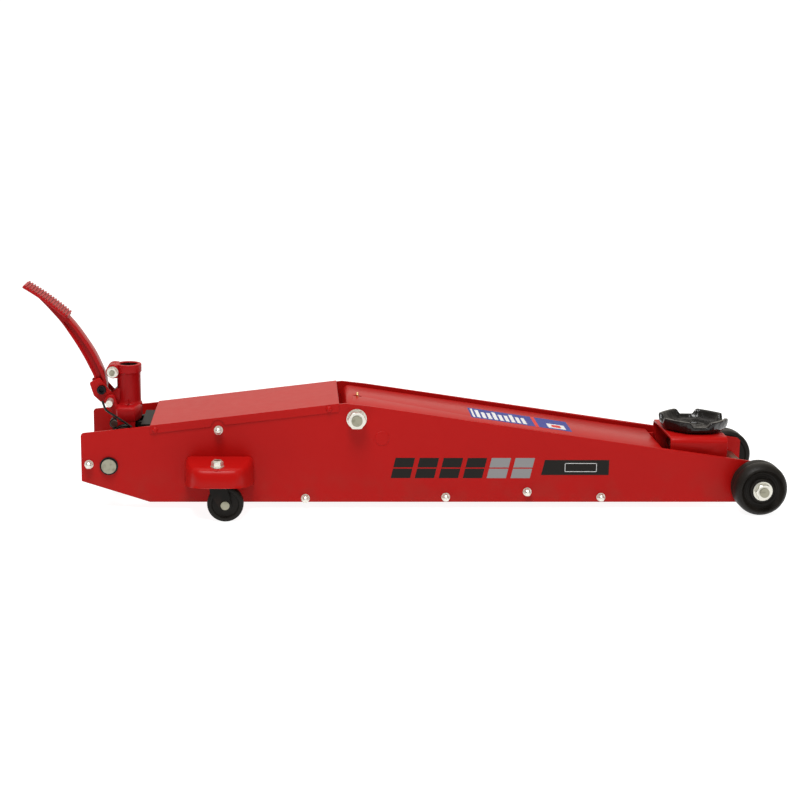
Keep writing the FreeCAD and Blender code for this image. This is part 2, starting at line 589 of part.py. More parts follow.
def lift_arm():
    """The welded arm, its pivot tube and the two cranks under it."""
    front_edge = "plate_front_top + 38.6"
    front_x = "chassis_front - 246"
    rear_x = "apex_at + 47.4"
    rear_edge = "apex_height - 4.3"
    slope = "((%s) - (%s)) / ((%s) - (%s))" % (front_edge, rear_edge, front_x, rear_x)
    top = lambda x: "(%s) + ((%s) - (%s)) * (%s) - arm_top_drop" % (rear_edge, x, rear_x, slope)
    under = lambda x: top(x) + " - arm_sheet"
    plate = padded("arm_top_sheet", "XZ", [
        ("pivot_at - 25", "pivot_height + 3"), ("pivot_at - 20", "pivot_height + 2"),
        ("pivot_at - 12", under("pivot_at - 12"), 6), ("arm_top_end - 5", under("arm_top_end - 5"), 3),
        ("arm_top_end - 6", "arm_front_pin_height + 2"), ("arm_top_end - 1", "arm_front_pin_height + 2"),
        ("arm_top_end", top("arm_top_end"), 7), ("pivot_at - 16", top("pivot_at - 16"), 11)],
        "-arm_half_width", "arm_half_width")
    slot = block("nipple_slot", ("pivot_at + nipple_offset - 8", -3, "pivot_height + 10"),
                 ("pivot_at + nipple_offset + 8", 3, "apex_height + 5"))
    node(cut("arm_top_plate", plate, [slot]), "arm_top_plate")

    outline = [
        ("pivot_at - 20", "pivot_height + 2"),
        ("pivot_at - 19", "pivot_height - 14", 10),
        ("pivot_at - 8", "pivot_height - 27", 12),
        ("pivot_at + 30", "pivot_height - 17"),
        ("pivot_at + 71", "pivot_height - 28"),
        ("pivot_at + 90", "pivot_height - 56"),
        ("pivot_at + 160", "pivot_height - arm_depth - 4", 40),
        ("arm_front_pin_at - 80", "arm_front_pin_height - 26", 40),
        ("arm_front_pin_at", "arm_front_pin_height - arm_end_radius", 8),
        ("arm_front_pin_at + arm_end_radius", "arm_front_pin_height - 8", 8),
        ("arm_front_pin_at + arm_end_radius", "arm_front_pin_height + 6", 8),
        ("arm_front_pin_at", "arm_front_pin_height + arm_end_radius - 3", 8),
        ("arm_top_end + 1", "arm_front_pin_height + arm_end_radius - 5"),
        ("arm_top_end + 1", "arm_front_pin_height + 1"),
        ("arm_top_end - 9", "arm_front_pin_height + 1"),
        ("arm_top_end - 9", under("arm_top_end - 9")),
        ("pivot_at - 12", under("pivot_at - 12"), 6),
    ]
    holes = [("pivot_at", "pivot_height", TUBE_RADIUS),
             ("arm_front_pin_at", "arm_front_pin_height", "arm_front_pin_radius")]
    group([padded("arm_side_l", "XZ", outline, "arm_half_width - arm_sheet", "arm_half_width", holes),
           padded("arm_side_r", "XZ", outline, "-arm_half_width", "arm_sheet - arm_half_width", holes)],
          "arm_side_plates")
    span = "(%s) - arm_side_gap" % PLATE_IN
    node(tube("arm_pivot_tube", "+Y", ("pivot_at", "-(%s)" % span, "pivot_height"),
              "pivot_radius + running_gap", TUBE_RADIUS, "2 * (%s)" % span), "arm_pivot_tube")

    ahead_x = "crank_length * cos(crank_angle * 1 deg)"
    ahead_z = "crank_length * sin(crank_angle * 1 deg)"
    across_x = "-sin(crank_angle * 1 deg)"
    across_z = "cos(crank_angle * 1 deg)"
    spot = lambda along, aside: (
        "pivot_at + (%s) * (%s) + (%s) * (%s)" % (along, ahead_x, aside, across_x),
        "pivot_height + (%s) * (%s) + (%s) * (%s)" % (along, ahead_z, aside, across_z))
    foot = "(1 + crank_boss / crank_length)"
    holes = [("pivot_at", "pivot_height", TUBE_RADIUS), (CRANK_X, CRANK_Z, "crank_pin_radius")]
    crank = [("pivot_at - 6", under("pivot_at - 6")), spot("0", "-17.5"),
             spot(foot, "-crank_boss") + ("crank_boss - 2",),
             spot(foot, "crank_boss") + ("crank_boss - 2",), spot("0", "22"),
             ("pivot_at + 20", under("pivot_at + 20"))]
    group([padded("crank_l", "XZ", crank, "crank_inner", "crank_inner + crank_thick", holes),
           padded("crank_r", "XZ", crank, "-crank_inner - crank_thick", "-crank_inner", holes)],
          "arm_cranks")
    node(rod("crank_pin", "+Y", (CRANK_X, "-crank_inner - crank_thick - 1", CRANK_Z),
             "crank_pin_radius", "2 * (crank_inner + crank_thick + 1)"), "crank_pin")
    node(turned("grease_nipple", "+Z", (
        "pivot_at + nipple_offset", 0, "pivot_height + %s - nipple_seat" % TUBE_RADIUS), [
        (0, 0), (2.6, 0), (2.6, 6), (2.4, 9), (1.5, 10), (2.3, 12, 0.6), (0, 13)]),
        "grease_nipple")
    node(turned("arm_front_pin", "+Y", ("arm_front_pin_at", 0, "arm_front_pin_height"), [
        (0, "-arm_half_width - 4"), ("arm_front_pin_radius + 3", "-arm_half_width - 4"),
        ("arm_front_pin_radius + 3", "-arm_half_width - 0.3"),
        ("arm_front_pin_radius", "-arm_half_width - 0.3"),
        ("arm_front_pin_radius", "arm_half_width + 0.3"),
        ("arm_front_pin_radius + 3", "arm_half_width + 0.3"),
        ("arm_front_pin_radius + 3", "arm_half_width + 4"), (0, "arm_half_width + 4")]),
        "arm_front_pin")


def saddle_group():
    """Levelling rods, the saddle's bracket and the saddle."""
    run = "sqrt((arm_front_pin_at - pivot_at)^2 + (arm_front_pin_height - pivot_height)^2)"
    ux = "(arm_front_pin_at - pivot_at) / (%s)" % run
    uz = "(arm_front_pin_height - pivot_height) / (%s)" % run

    def spot(from_front, along, aside):
        x, z = (ROD_PIN_X, ROD_PIN_Z) if from_front else (ROD_ANCHOR_X, ROD_ANCHOR_Z)
        return ("%s + (%s) * (%s) - (%s) * (%s)" % (x, along, ux, aside, uz),
                "%s + (%s) * (%s) + (%s) * (%s)" % (z, along, uz, aside, ux))
    outline = [
        spot(False, "-rod_eye", "rod_eye") + ("rod_eye - 1",),
        spot(False, "-rod_eye", "-rod_eye") + ("rod_eye - 1",),
        spot(False, "rod_eye", "-rod_eye") + (10,), spot(False, "rod_eye + 12", "-rod_half_height"),
        spot(True, "-rod_front_eye - 12", "-rod_half_height"),
        spot(True, "-rod_front_eye", "-rod_front_eye") + (8,),
        spot(True, "rod_front_eye", "-rod_front_eye") + ("rod_front_eye - 1",),
        spot(True, "rod_front_eye", "rod_front_eye") + ("rod_front_eye - 1",),
        spot(True, "-rod_front_eye", "rod_front_eye") + (8,),
        spot(True, "-rod_front_eye - 12", "rod_half_height"),
        spot(False, "rod_eye + 12", "rod_half_height"), spot(False, "rod_eye", "rod_eye") + (10,)]
    holes = [(ROD_ANCHOR_X, ROD_ANCHOR_Z, "rod_anchor_radius + running_gap"),
             (ROD_PIN_X, ROD_PIN_Z, "rod_pin_radius + open_pivot_gap")]
    group([padded("rod_l", "XZ", outline, "rod_inner", "rod_inner + rod_thick", holes),
           padded("rod_r", "XZ", outline, "-rod_inner - rod_thick", "-rod_inner", holes)],
          "radius_rods")

    low = "%s - 17" % ROD_PIN_Z
    wide = "bracket_half_width"
    inner = "bracket_half_width - bracket_sheet"
    fold = padded("bracket_fold", "YZ", [
        ("-(%s)" % wide, low), ("-(%s)" % inner, low),
        ("-(%s)" % inner, "bracket_top - bracket_sheet", "bracket_bend - bracket_sheet"),
        (inner, "bracket_top - bracket_sheet", "bracket_bend - bracket_sheet"), (inner, low),
        (wide, low), (wide, "bracket_top", "bracket_bend"),
        ("-(%s)" % wide, "bracket_top", "bracket_bend")], "bracket_rear", "bracket_front")
    side = padded("bracket_side", "XZ", [
        ("bracket_rear", "bracket_top + 1"), ("bracket_rear", "bracket_top - 24"),
        ("arm_front_pin_at - 24", "arm_front_pin_height - 16", 14),
        ("%s - 14" % ROD_PIN_X, low, 16), ("bracket_front", low, 16),
        ("bracket_front", "bracket_top + 1")], "-(%s) - 1" % wide, "%s + 1" % wide, [
        ("arm_front_pin_at", "arm_front_pin_height", "arm_front_pin_radius + running_gap"),
        (ROD_PIN_X, ROD_PIN_Z, "rod_pin_radius")])
    hole = rod("stem_hole", "+Z", ("saddle_at", 0, "bracket_top - bracket_sheet - 1"),
               "saddle_stem_radius + running_gap", "bracket_sheet + 2")
    node(cut("saddle_bracket", common("bracket_blank", fold, side), [hole]), "saddle_bracket")
    half = "bracket_half_width + 1"
    shaft = rod("rod_pin_bar", "+Y", (ROD_PIN_X, "-(%s)" % half, ROD_PIN_Z), "rod_pin_radius",
                "2 * (%s)" % half)
    gap = "bracket_half_width - bracket_sheet - rod_inner - rod_thick - contact_gap"
    start = "rod_inner + rod_thick + contact_gap"
    spacer_l = rod("rod_spacer_l", "+Y", (ROD_PIN_X, start, ROD_PIN_Z), "rod_pin_radius + 4", gap)
    spacer_r = rod("rod_spacer_r", "-Y", (ROD_PIN_X, "-(%s)" % start, ROD_PIN_Z),
                   "rod_pin_radius + 4", gap)
    node(joined("rod_pin", [shaft, spacer_l, spacer_r]), "rod_pin")

    low_rim = "saddle_low_rim"
    tall = "saddle_low_rim + saddle_lug_rise"
    cup = turned("saddle_cup", "+Z", ("saddle_at", 0, "saddle_base_height"), [
        (0, "-saddle_stem_drop"), ("saddle_stem_radius", "-saddle_stem_drop"),
        ("saddle_stem_radius", 0), ("saddle_base_radius", 0, 3),
        ("saddle_radius", "%s - 6" % low_rim, 6), ("saddle_radius", tall, 2),
        ("saddle_radius - saddle_wall", tall, 2), ("saddle_radius - saddle_wall - 3", low_rim, 3),
        ("saddle_base_radius - 4", "saddle_floor", 8), (0, "saddle_floor")])
    scallops = [rod("scallop_" + axis[1], axis, (start_x, start_y,
                    "saddle_base_height + %s + saddle_scallop" % low_rim),
                    "saddle_scallop", "2 * saddle_radius + 10")
                for axis, start_x, start_y in (("+X", "saddle_at - saddle_radius - 5", 0),
                                               ("+Y", "saddle_at", "-saddle_radius - 5"))]
    node(cut("saddle", cup, scallops), "saddle")
    node(tube("saddle_retainer", "-Z", ("saddle_at", 0, "bracket_top - bracket_sheet - contact_gap"),
              "saddle_stem_radius", "saddle_stem_radius + 5", 3), "saddle_retainer")


def handle_socket():
    """The tilting socket, its yoke and the lever that works the pump."""
    yoke = []
    for side in (-1, 1):
        low = "yoke_inner" if side > 0 else "-yoke_inner - yoke_thick"
        high = "yoke_inner + yoke_thick" if side > 0 else "-yoke_inner"
        yoke.append(padded("yoke_%s" % "rl"[side > 0], "XZ", [
            ("socket_pivot_at - 18", "socket_pivot_height - 18", 17),
            ("socket_pivot_at + 18", "socket_pivot_height - 18", 17),
            ("socket_pivot_at + 19", "socket_floor + 1"), ("socket_pivot_at - 12", "socket_floor + 1")],
            low, high, [("socket_pivot_at", "socket_pivot_height", "socket_shaft_radius")]))
    wide = "yoke_inner + yoke_thick"
    shelf = padded("socket_shelf", "XY", [
        ("socket_pivot_at - 15.5", "-(%s)" % wide, 5), ("socket_pivot_at + 19", "-(%s)" % wide, 5),
        ("socket_pivot_at + 29", "-(%s) + 22" % wide, 8), ("socket_pivot_at + 29", "%s - 22" % wide, 8),
        ("socket_pivot_at + 19", wide, 5), ("socket_pivot_at - 15.5", wide, 5)],
        "socket_floor", "socket_floor + socket_shelf")
    barrel = turned("socket_barrel", "+Z", ("socket_axis_at", 0, "socket_floor + socket_shelf - 1"), [
        (0, 0), ("socket_radius + 3", 0), ("socket_radius", 8, 4),
        ("socket_radius", "socket_top - socket_floor - socket_shelf + 1 - collar_height"),
        ("collar_radius", "socket_top - socket_floor - socket_shelf + 1 - collar_height"),
        ("collar_radius", "socket_top - socket_floor - socket_shelf + 1", 1.2),
        (0, "socket_top - socket_floor - socket_shelf + 1")])
    ear = block("clamp_ears", ("clamp_at - 9", "-clamp_half_width", "clamp_height - 10"),
                ("socket_axis_at - 10", "clamp_half_width", "socket_top - 1"))
    rib = block("socket_rib", ("socket_axis_at - 3", "-socket_radius - 9", "socket_floor + 4"),
                ("socket_axis_at + 3", 0, "socket_floor + socket_shelf + 14"))
    lug = padded("pedal_lug", "XZ", [
        ("pedal_pin_at - 9", "pedal_pin_height - 9", 8.5), ("socket_axis_at", "pedal_pin_height - 9"),
        ("socket_axis_at", "pedal_pin_height + 22"),
        ("socket_axis_at - socket_radius", "pedal_pin_height + 22"),
        ("pedal_pin_at - 9", "pedal_pin_height + 9", 8)], "0.4 - pedal_inner", "pedal_inner - 0.4",
        [("pedal_pin_at", "pedal_pin_height", "pedal_pin_radius")])
    whole = joined("socket_whole", yoke + [shelf, barrel, ear, rib, lug])
    bore = rod("socket_hole", "+Z", ("socket_axis_at", 0, "socket_floor + socket_shelf - 1"),
               "socket_bore", "socket_top")
    spigot = rod("spigot_hole", "+Z", ("socket_axis_at", 0, "socket_floor - 20"),
                 "7 + running_gap", 60)
    slit = block("clamp_slit", ("clamp_at - 20", -2, "clamp_height - 16"),
                 ("socket_axis_at", 2, "socket_top + 1"))
    bolt = rod("clamp_hole", "+Y", ("clamp_at", "-clamp_half_width - 2", "clamp_height + 1"),
               "clamp_bolt_radius", "2 * clamp_half_width + 4")
    node(cut("handle_socket", whole, [bore, spigot, slit, bolt]), "handle_socket")

    node(turned("socket_shaft", "+Y", ("socket_pivot_at", 0, "socket_pivot_height"), [
        (0, "-(%s) - 18" % wide), (18, "-(%s) - 18" % wide), (18, "-(%s) - 15" % wide),
        ("socket_shaft_radius + 5", "-(%s) - 15" % wide), ("socket_shaft_radius + 5", "-(%s)" % wide),
        ("socket_shaft_radius", "-(%s)" % wide), ("socket_shaft_radius", wide),
        ("socket_shaft_radius + 5", wide), ("socket_shaft_radius + 5", "%s + 4" % wide),
        (0, "%s + 4" % wide)]), "socket_shaft")
    coil = tube("spring_coil", "-Y",
                ("socket_pivot_at", "-(%s) - contact_gap" % wide, "socket_pivot_height"),
                "spring_radius - spring_wire / 2", "spring_radius + spring_wire / 2", 12.5)
    leg = padded("spring_leg", "XZ", [
        ("socket_pivot_at + 9.4", "socket_pivot_height + 19"),
        ("pedal_pin_at - 6.2", "pedal_pin_height - 10.9"),
        ("pedal_pin_at - 12.2", "pedal_pin_height + 6"),
        ("pedal_pin_at - 9.5", "pedal_pin_height + 7"),
        ("pedal_pin_at - 4.2", "pedal_pin_height - 8.3"),
        ("socket_pivot_at + 11", "socket_pivot_height + 21.4")],
        "-(%s) - 11" % wide, "-(%s) - 11 + spring_wire" % wide)
    node(joined("torsion_spring", [coil, leg]), "torsion_spring")

    cheeks = []
    for side in (-1, 1):
        low = "9" if side > 0 else "-lever_half_width"
        high = "lever_half_width" if side > 0 else "-9"
        cheeks.append(padded("lever_%s" % "rl"[side > 0], "XZ", [
            ("socket_pivot_at - 13", "socket_pivot_height"), ("%s - 7" % ROLLER_X, "%s - 7" % ROLLER_Z, 6.5),
            ("%s + 7" % ROLLER_X, "%s - 7" % ROLLER_Z, 6.5), ("socket_pivot_at + 13", "socket_pivot_height")],
            low, high))
    hub = rod("lever_hub", "+Y", ("socket_pivot_at", "-ear_inner + 1", "socket_pivot_height"),
              "socket_shaft_radius + 6", "2 * (ear_inner - 1)")
    eye = rod("lever_eye", "+Y", ("socket_pivot_at", "-ear_inner", "socket_pivot_height"),
              "socket_shaft_radius", "2 * ear_inner")
    axle = rod("roller_axle", "+Y", (ROLLER_X, "-lever_half_width", ROLLER_Z),
               "roller_bore", "2 * lever_half_width")
    node(cut("pump_lever", joined("lever_whole", cheeks + [hub, axle]), [eye]), "pump_lever")
    node(tube("pump_roller", "+Y", (ROLLER_X, -8.7, ROLLER_Z), "roller_bore + running_gap",
              "roller_radius", 17.4), "pump_roller")
    cap = "%s + roller_radius + contact_gap" % ROLLER_X
    node(turned("plunger", "+X", (cap, 0, "plunger_height"), [
        (0, 0), ("plunger_cap_radius", 0), ("plunger_cap_radius", "plunger_cap_thick", 1),
        ("plunger_radius", "plunger_cap_thick"), ("plunger_radius", "plunger_reach", 1),
        (0, "plunger_reach")]), "plunger")
    node(turned("release_spigot", "+Z", ("socket_axis_at", 0, "socket_floor"), [
        (0, -8), ("socket_bore - 3", -8), ("socket_bore - 3", "-contact_gap"), (7, "-contact_gap"),
        (7, "socket_shelf - 1"), (0, "socket_shelf - 1")]), "release_spigot")

    bolt_z = "clamp_height + 1"
    bolt_head = "clamp_half_width + 2.5"
    shank = rod("clamp_shank", "+Y", ("clamp_at", "-(%s) - 12" % bolt_head, bolt_z),
                "clamp_bolt_radius", "2 * (%s) + 12" % bolt_head)
    head = hexagon("clamp_head", "+Y", ("clamp_at", bolt_head, bolt_z), 17, 6.5)
    node(joined("clamp_bolt", [shank, head]), "clamp_bolt")
    nut = hex_nut("clamp_hex", "-Y", ("clamp_at", "-(%s)" % bolt_head, bolt_z), 17, 8,
                  "clamp_bolt_radius")
    group([nut, tube("clamp_washer_r", "-Y", ("clamp_at", "-clamp_half_width", bolt_z),
                     "clamp_bolt_radius", 10.5, 2.5),
           tube("clamp_washer_l", "+Y", ("clamp_at", "clamp_half_width", bolt_z),
                "clamp_bolt_radius", 10.5, 2.5)], "clamp_nut")


def pedal():
    """The foot pedal and the bracket that bolts it to the socket."""
    outline = [
        ("pedal_pin_at - 39.5", "pedal_pin_height + 31", 3), ("pedal_pin_at - 33", "pedal_pin_height + 35", 3),
        ("pedal_pin_at - 21", "pedal_pin_height + 41", 3), ("pedal_pin_at - 6", "pedal_pin_height + 22", 6),
        ("pedal_pin_at + 9.5", "pedal_pin_height + 4", 7), ("pedal_pin_at + 8", "pedal_pin_height - 9.5", 7),
        ("pedal_pin_at - 9", "pedal_pin_height - 9.5", 6), ("pedal_pin_at - 20", "pedal_pin_height - 4.5", 4),
        ("pedal_pin_at - 32", "pedal_pin_height + 7", 4)]
    holes = [("pedal_pin_at", "pedal_pin_height", "pedal_pin_radius"),
             ("pedal_bolt_at", "pedal_bolt_height", "pedal_bolt_radius")]
    group([padded("pedal_cheek_l", "XZ", outline, "pedal_inner", "pedal_inner + pedal_sheet", holes),
           padded("pedal_cheek_r", "XZ", outline, "-pedal_inner - pedal_sheet", "-pedal_inner", holes)],
          "pedal_cheeks")
    node(joined("pedal_pin", [
        rod("pedal_pin_bar", "+Y", ("pedal_pin_at", "-pedal_pin_reach", "pedal_pin_height"),
            "pedal_pin_radius", "pedal_pin_reach + pedal_inner + pedal_sheet + 5"),
        rod("pedal_pin_head", "+Y", ("pedal_pin_at", "pedal_inner + pedal_sheet", "pedal_pin_height"),
            "pedal_pin_radius + 2.5", 4)]), "pedal_pin")
    out = "pedal_inner + pedal_sheet"
    head = turned("pedal_bolt_head", "-Y", ("pedal_bolt_at", "-(%s)" % out, "pedal_bolt_height"), [
        (0, 0), (8.3, 0), (8.3, 9, 1), (4.4, 9), (4.4, 4), (0, 4)])
    shank = rod("pedal_bolt_shank", "+Y", ("pedal_bolt_at", "-(%s) - 1" % out, "pedal_bolt_height"),
                "pedal_bolt_radius", "2 * (%s) + 8" % out)
    nut = hexagon("pedal_bolt_nut", "+Y", ("pedal_bolt_at", out, "pedal_bolt_height"), 16, 8)
    node(joined("pedal_bolt", [head, shank, nut]), "pedal_bolt")

    pad_x = "pad_low_at"
    pad_z = "pad_low_height"
    under = lambda share, drop: (
        "%s - pad_length * %s * cos(pad_angle * 1 deg) - (%s) * sin(pad_angle * 1 deg)" % (pad_x, share, drop),
        "%s + pad_length * %s * sin(pad_angle * 1 deg) - (%s) * cos(pad_angle * 1 deg)" % (pad_z, share, drop))
    stem = [
        ("pedal_bolt_at - 15", "pedal_bolt_height - 14", 8),
        ("pedal_bolt_at + 9", "pedal_bolt_height - 13", 8),
        ("pedal_bolt_at + 9", "pedal_bolt_height + 14", 14),
        ("pedal_bolt_at - 2", "pedal_bolt_height + 55", 60),
        ("pedal_bolt_at - 21", "pedal_bolt_height + 98", 40), under("0.04", "pad_thick"),
        under("0.93", "pad_thick"), under("0.93", "pad_thick + 5"),
        under("0.48", "pad_thick + 14"),
        ("pedal_bolt_at - 46", "pedal_bolt_height + 84", 50),
        ("pedal_bolt_at - 30", "pedal_bolt_height + 45", 60),
        ("pedal_bolt_at - 22", "pedal_bolt_height + 12")]
    web = [
        ("pedal_bolt_at - 9", "pedal_bolt_height + 18", 3),
        ("pedal_bolt_at + 1", "pedal_bolt_height + 18", 3),
        ("pedal_bolt_at - 10", "pedal_bolt_height + 58"),
        ("pedal_bolt_at - 27", "pedal_bolt_height + 97", 26),
        under("0.2", "pad_thick + 6"), under("0.42", "pad_thick + 6") + (3,),
        ("pedal_bolt_at - 38", "pedal_bolt_height + 80", 50),
        ("pedal_bolt_at - 23", "pedal_bolt_height + 45")]
    solid = padded("pedal_solid", "XZ", stem, "-pedal_half_flange", "pedal_half_flange",
                   [("pedal_bolt_at", "pedal_bolt_height", "pedal_bolt_radius")])
    hollows = [padded("pedal_hollow_l", "XZ", web, "pedal_web", "pedal_half_flange + 1"),
               padded("pedal_hollow_r", "XZ", web, "-pedal_half_flange - 1", "-pedal_web")]
    node(cut("pedal_arm", solid, hollows), "pedal_arm")

    body = doc.addObject("PartDesign::Body", "pedal_pad")
    base = new_sketch(body, "XZ", "pad_base")
    base.setExpression("AttachmentOffset.Base.z", bound("-pad_half_width"))
    draw_outline(base, [("-pad_length", "-pad_thick", 3), (0, "-pad_thick", 3), (0, 0, 2),
                        ("-pad_length", 0, 2)])
    slab = body.newObject("PartDesign::Pad", "pad_slab")
    slab.Profile = base
    slab.setExpression("Length", bound("2 * pad_half_width"))
    tooth = new_sketch(body, "XZ", "pad_tooth")
    tooth.setExpression("AttachmentOffset.Base.z", bound("-pad_half_width"))
    draw_outline(tooth, [("-pad_rib_width - 3", "-0.5"), ("-3", "-0.5"), ("-3.4", "pad_rib_height"),
                         ("-pad_rib_width - 2.6", "pad_rib_height")])
    rib = body.newObject("PartDesign::Pad", "pad_rib")
    rib.Profile = tooth
    rib.setExpression("Length", bound("2 * pad_half_width"))
    row = body.newObject("PartDesign::LinearPattern", "pad_row")
    row.Originals = [rib]
    row.Direction = (base, ["H_Axis"])
    row.Reversed = True
    row.setExpression("Length", bound("pad_length - 6 - pad_rib_width"))
    row.setExpression("Occurrences", bound("pad_ribs"))
    body.Tip = row
    moved(body, ("pad_low_at", 0, "pad_low_height"), Rotation(Vector(0, 1, 0), number("pad_angle")))
    body.setExpression("Placement.Rotation.Angle", bound("pad_angle * 1 deg"))
    node(body, "pedal_pad")


def caster(side, name):
    """One swivelling rear caster under its welded hood."""
    low, high = ("half_width", "bracket_out") if side > 0 else ("-bracket_out", "-half_width")
    near, far = ("half_width", "bracket_out") if side > 0 else ("-half_width", "-bracket_out")
    inset = "hood_sheet" if side > 0 else "-hood_sheet"
    root, tip = "hood_root_half", "hood_tip_half"

    def plan(less, end):
        points = [("caster_at - %s + %s" % (root, less), near), ("caster_at + %s - %s" % (root, less), near),
                  ("caster_at + %s - %s" % (tip, less), end, "14 - %s" % less),
                  ("caster_at - %s + %s" % (tip, less), end, "14 - %s" % less)]
        return points if side > 0 else points[::-1]
    hood = padded("hood_" + name, "XY", plan("0", far), "hood_top - hood_root_drop", "hood_top")
    hollow = padded("hollow_" + name, "XY", plan("hood_sheet", "%s - (%s)" % (far, inset)),
                    "hood_top - hood_root_drop - 1", "hood_top - hood_sheet")
    wedge_points = [
        (near, "hood_top - hood_root_drop - 1"),
        ("%s + (%s)" % (far, inset), "hood_top - hood_root_drop - 1"),
        ("%s + (%s)" % (far, inset), "hood_top - hood_tip_drop"), (near, "hood_top - hood_root_drop")]
    wedge = padded("wedge_" + name, "YZ", wedge_points if side > 0 else wedge_points[::-1],
                   "caster_at - 90", "caster_at + 90")
    out = "%d * caster_out" % side
    race = rod("race_" + name, "-Z", ("caster_at", out, "hood_top - 1"), 19,
               "hood_top - 1 - fork_crown - fork_sheet - contact_gap")
    stud_hole = rod("stud_hole_" + name, "+Z", ("caster_at", out, "fork_crown"), "stud_radius", 60)
    open_hood = cut("hood_open_" + name, hood, [hollow, wedge])
    node(cut("caster_bracket_" + name, joined("hood_race_" + name, [open_hood, race]), [stud_hole]),
         "caster_bracket_" + name)

    fork_half = "fork_inner + fork_sheet"
    crown = block("crown_" + name,
                  ("caster_at - fork_half_length", "%s - (%s)" % (out, fork_half), "fork_crown"),
                  ("caster_at + fork_half_length", "%s + %s" % (out, fork_half), "fork_crown + fork_sheet"))
    axle_x = "caster_at + caster_trail"
    cheek = [("caster_at - fork_half_length", "fork_crown + fork_sheet"),
             ("caster_at - fork_half_length + 2", "fork_crown - 12", 6),
             ("%s - 9" % axle_x, "caster_radius - 9", 8), ("%s + 9" % axle_x, "caster_radius - 9", 8),
             ("%s + 9" % axle_x, "caster_radius + 12", 10),
             ("caster_at + fork_half_length", "fork_crown + fork_sheet")]
    hole = [(axle_x, "caster_radius", "caster_axle_radius")]
    walls = [padded("fork_%s_%d" % (name, i), "XZ", cheek, a, b, hole) for i, (a, b) in enumerate((
        ("%s - fork_inner - fork_sheet" % out, "%s - fork_inner" % out),
        ("%s + fork_inner" % out, "%s + fork_inner + fork_sheet" % out)))]
    axle = turned("fork_axle_" + name, "+Y", (axle_x, out, "caster_radius"), [
        (0, "-(%s) - 2" % fork_half), ("caster_axle_radius + 2", "-(%s) - 2" % fork_half, 1.5),
        ("caster_axle_radius + 2", "-(%s)" % fork_half), ("caster_axle_radius", "-(%s)" % fork_half),
        ("caster_axle_radius", fork_half), ("caster_axle_radius + 2", fork_half),
        ("caster_axle_radius + 2", fork_half + " + 2", 1.5), (0, fork_half + " + 2")])
    body = cut("fork_body_" + name, joined("fork_frame_" + name, [crown] + walls), [
        rod("swivel_hole_" + name, "+Z", ("caster_at", out, "fork_crown - 2"),
            "stud_radius + running_gap", 30)])
    node(joined("caster_fork_" + name, [body, axle]), "caster_fork_" + name)

    half = "caster_width / 2"
    node(turned("caster_wheel_" + name, "+Y", (axle_x, out, "caster_radius"), [
        ("caster_axle_radius + running_gap", "-(%s) - 1.6" % half),
        ("caster_axle_radius + 6", "-(%s) - 1.6" % half),
        ("caster_axle_radius + 6", "2 - (%s)" % half), ("caster_radius - 9", "2 - (%s)" % half),
        ("caster_radius - 6", "-(%s)" % half), ("caster_radius", "-(%s)" % half, 3),
        ("caster_radius", half, 3), ("caster_radius - 6", half), ("caster_radius - 9", "(%s) - 2" % half),
        ("caster_axle_radius + 6", "(%s) - 2" % half), ("caster_axle_radius + 6", "(%s) + 1.6" % half),
        ("caster_axle_radius + running_gap", "(%s) + 1.6" % half)]), "caster_wheel_" + name)


def caster_fasteners():
    """The studs that both casters turn on, and their nuts."""
    studs, nuts = [], []
    for side, name in SIDES:
        out = "%d * caster_out" % side
        shank = rod("stud_" + name, "+Z", ("caster_at", out, "fork_crown - 1"), "stud_radius",
                    "hood_top - fork_crown + 12")
        studs.append(shank)
        nut = hex_nut("stud_nut_" + name, "+Z", ("caster_at", out, "hood_top + 2"), 19, 8, "stud_radius")
        flange = tube("stud_washer_" + name, "+Z", ("caster_at", out, "hood_top"), "stud_radius", 12, 2)
        collar = tube("stud_collar_" + name, "+Z", ("caster_at", out, "hood_top + 10"), "stud_radius", 8, 2)
        nuts.append(joined("stud_nut_whole_" + name, [nut, flange, collar]))
    group(studs, "caster_studs")
    group(nuts, "caster_nuts")


def front_wheel(side, name):
    """One front roller wheel with a deep dished face."""
    width = "wheel_width"
    bore = "journal_radius + running_gap"
    axis = "+Y" if side > 0 else "-Y"
    node(turned("front_wheel_" + name, axis, ("front_axle_at", "%d * (half_width + wheel_gap)" % side,
                "wheel_radius"), [
        (bore, 0), ("wheel_face_radius", 0, 2), ("wheel_radius", "wheel_shoulder", 9),
        ("wheel_radius", "wheel_width - wheel_shoulder + 1", 9), ("wheel_face_radius", width, 2),
        ("wheel_dish_radius + 3", width, 2), ("wheel_dish_radius - 2", "wheel_width - wheel_dish_depth", 4),
        ("wheel_hub_radius + 3", "wheel_width - wheel_dish_depth", 4),
        ("wheel_hub_radius", "wheel_width - 3", 1),
        (bore, "wheel_width - 3")]), "front_wheel_" + name)


def main():
    """Build every sub-part, check it and write it."""
    chassis()
    rear_cover()
    hydraulic_unit()
    lift_arm()
    saddle_group()
    handle_socket()
    pedal()
    for side, name in SIDES:
        caster(side, name)
        front_wheel(side, name)
    caster_fasteners()
    doc.recompute()
    faults = [o.Name for o in doc.Objects if {"Invalid", "Error"} & set(o.State)]
    for thing in NODES:
        if thing.Shape.isNull() or not thing.Shape.isValid() or not thing.Shape.Solids:
            faults.append(thing.Label)
    if faults:
        raise RuntimeError("failed: " + ", ".join(faults))
    os.makedirs("parts", exist_ok=True)
    for thing in NODES:
        thing.Shape.exportStep("parts/%s.step" % thing.Label)
    print(len(NODES), "sub-parts written")


main()
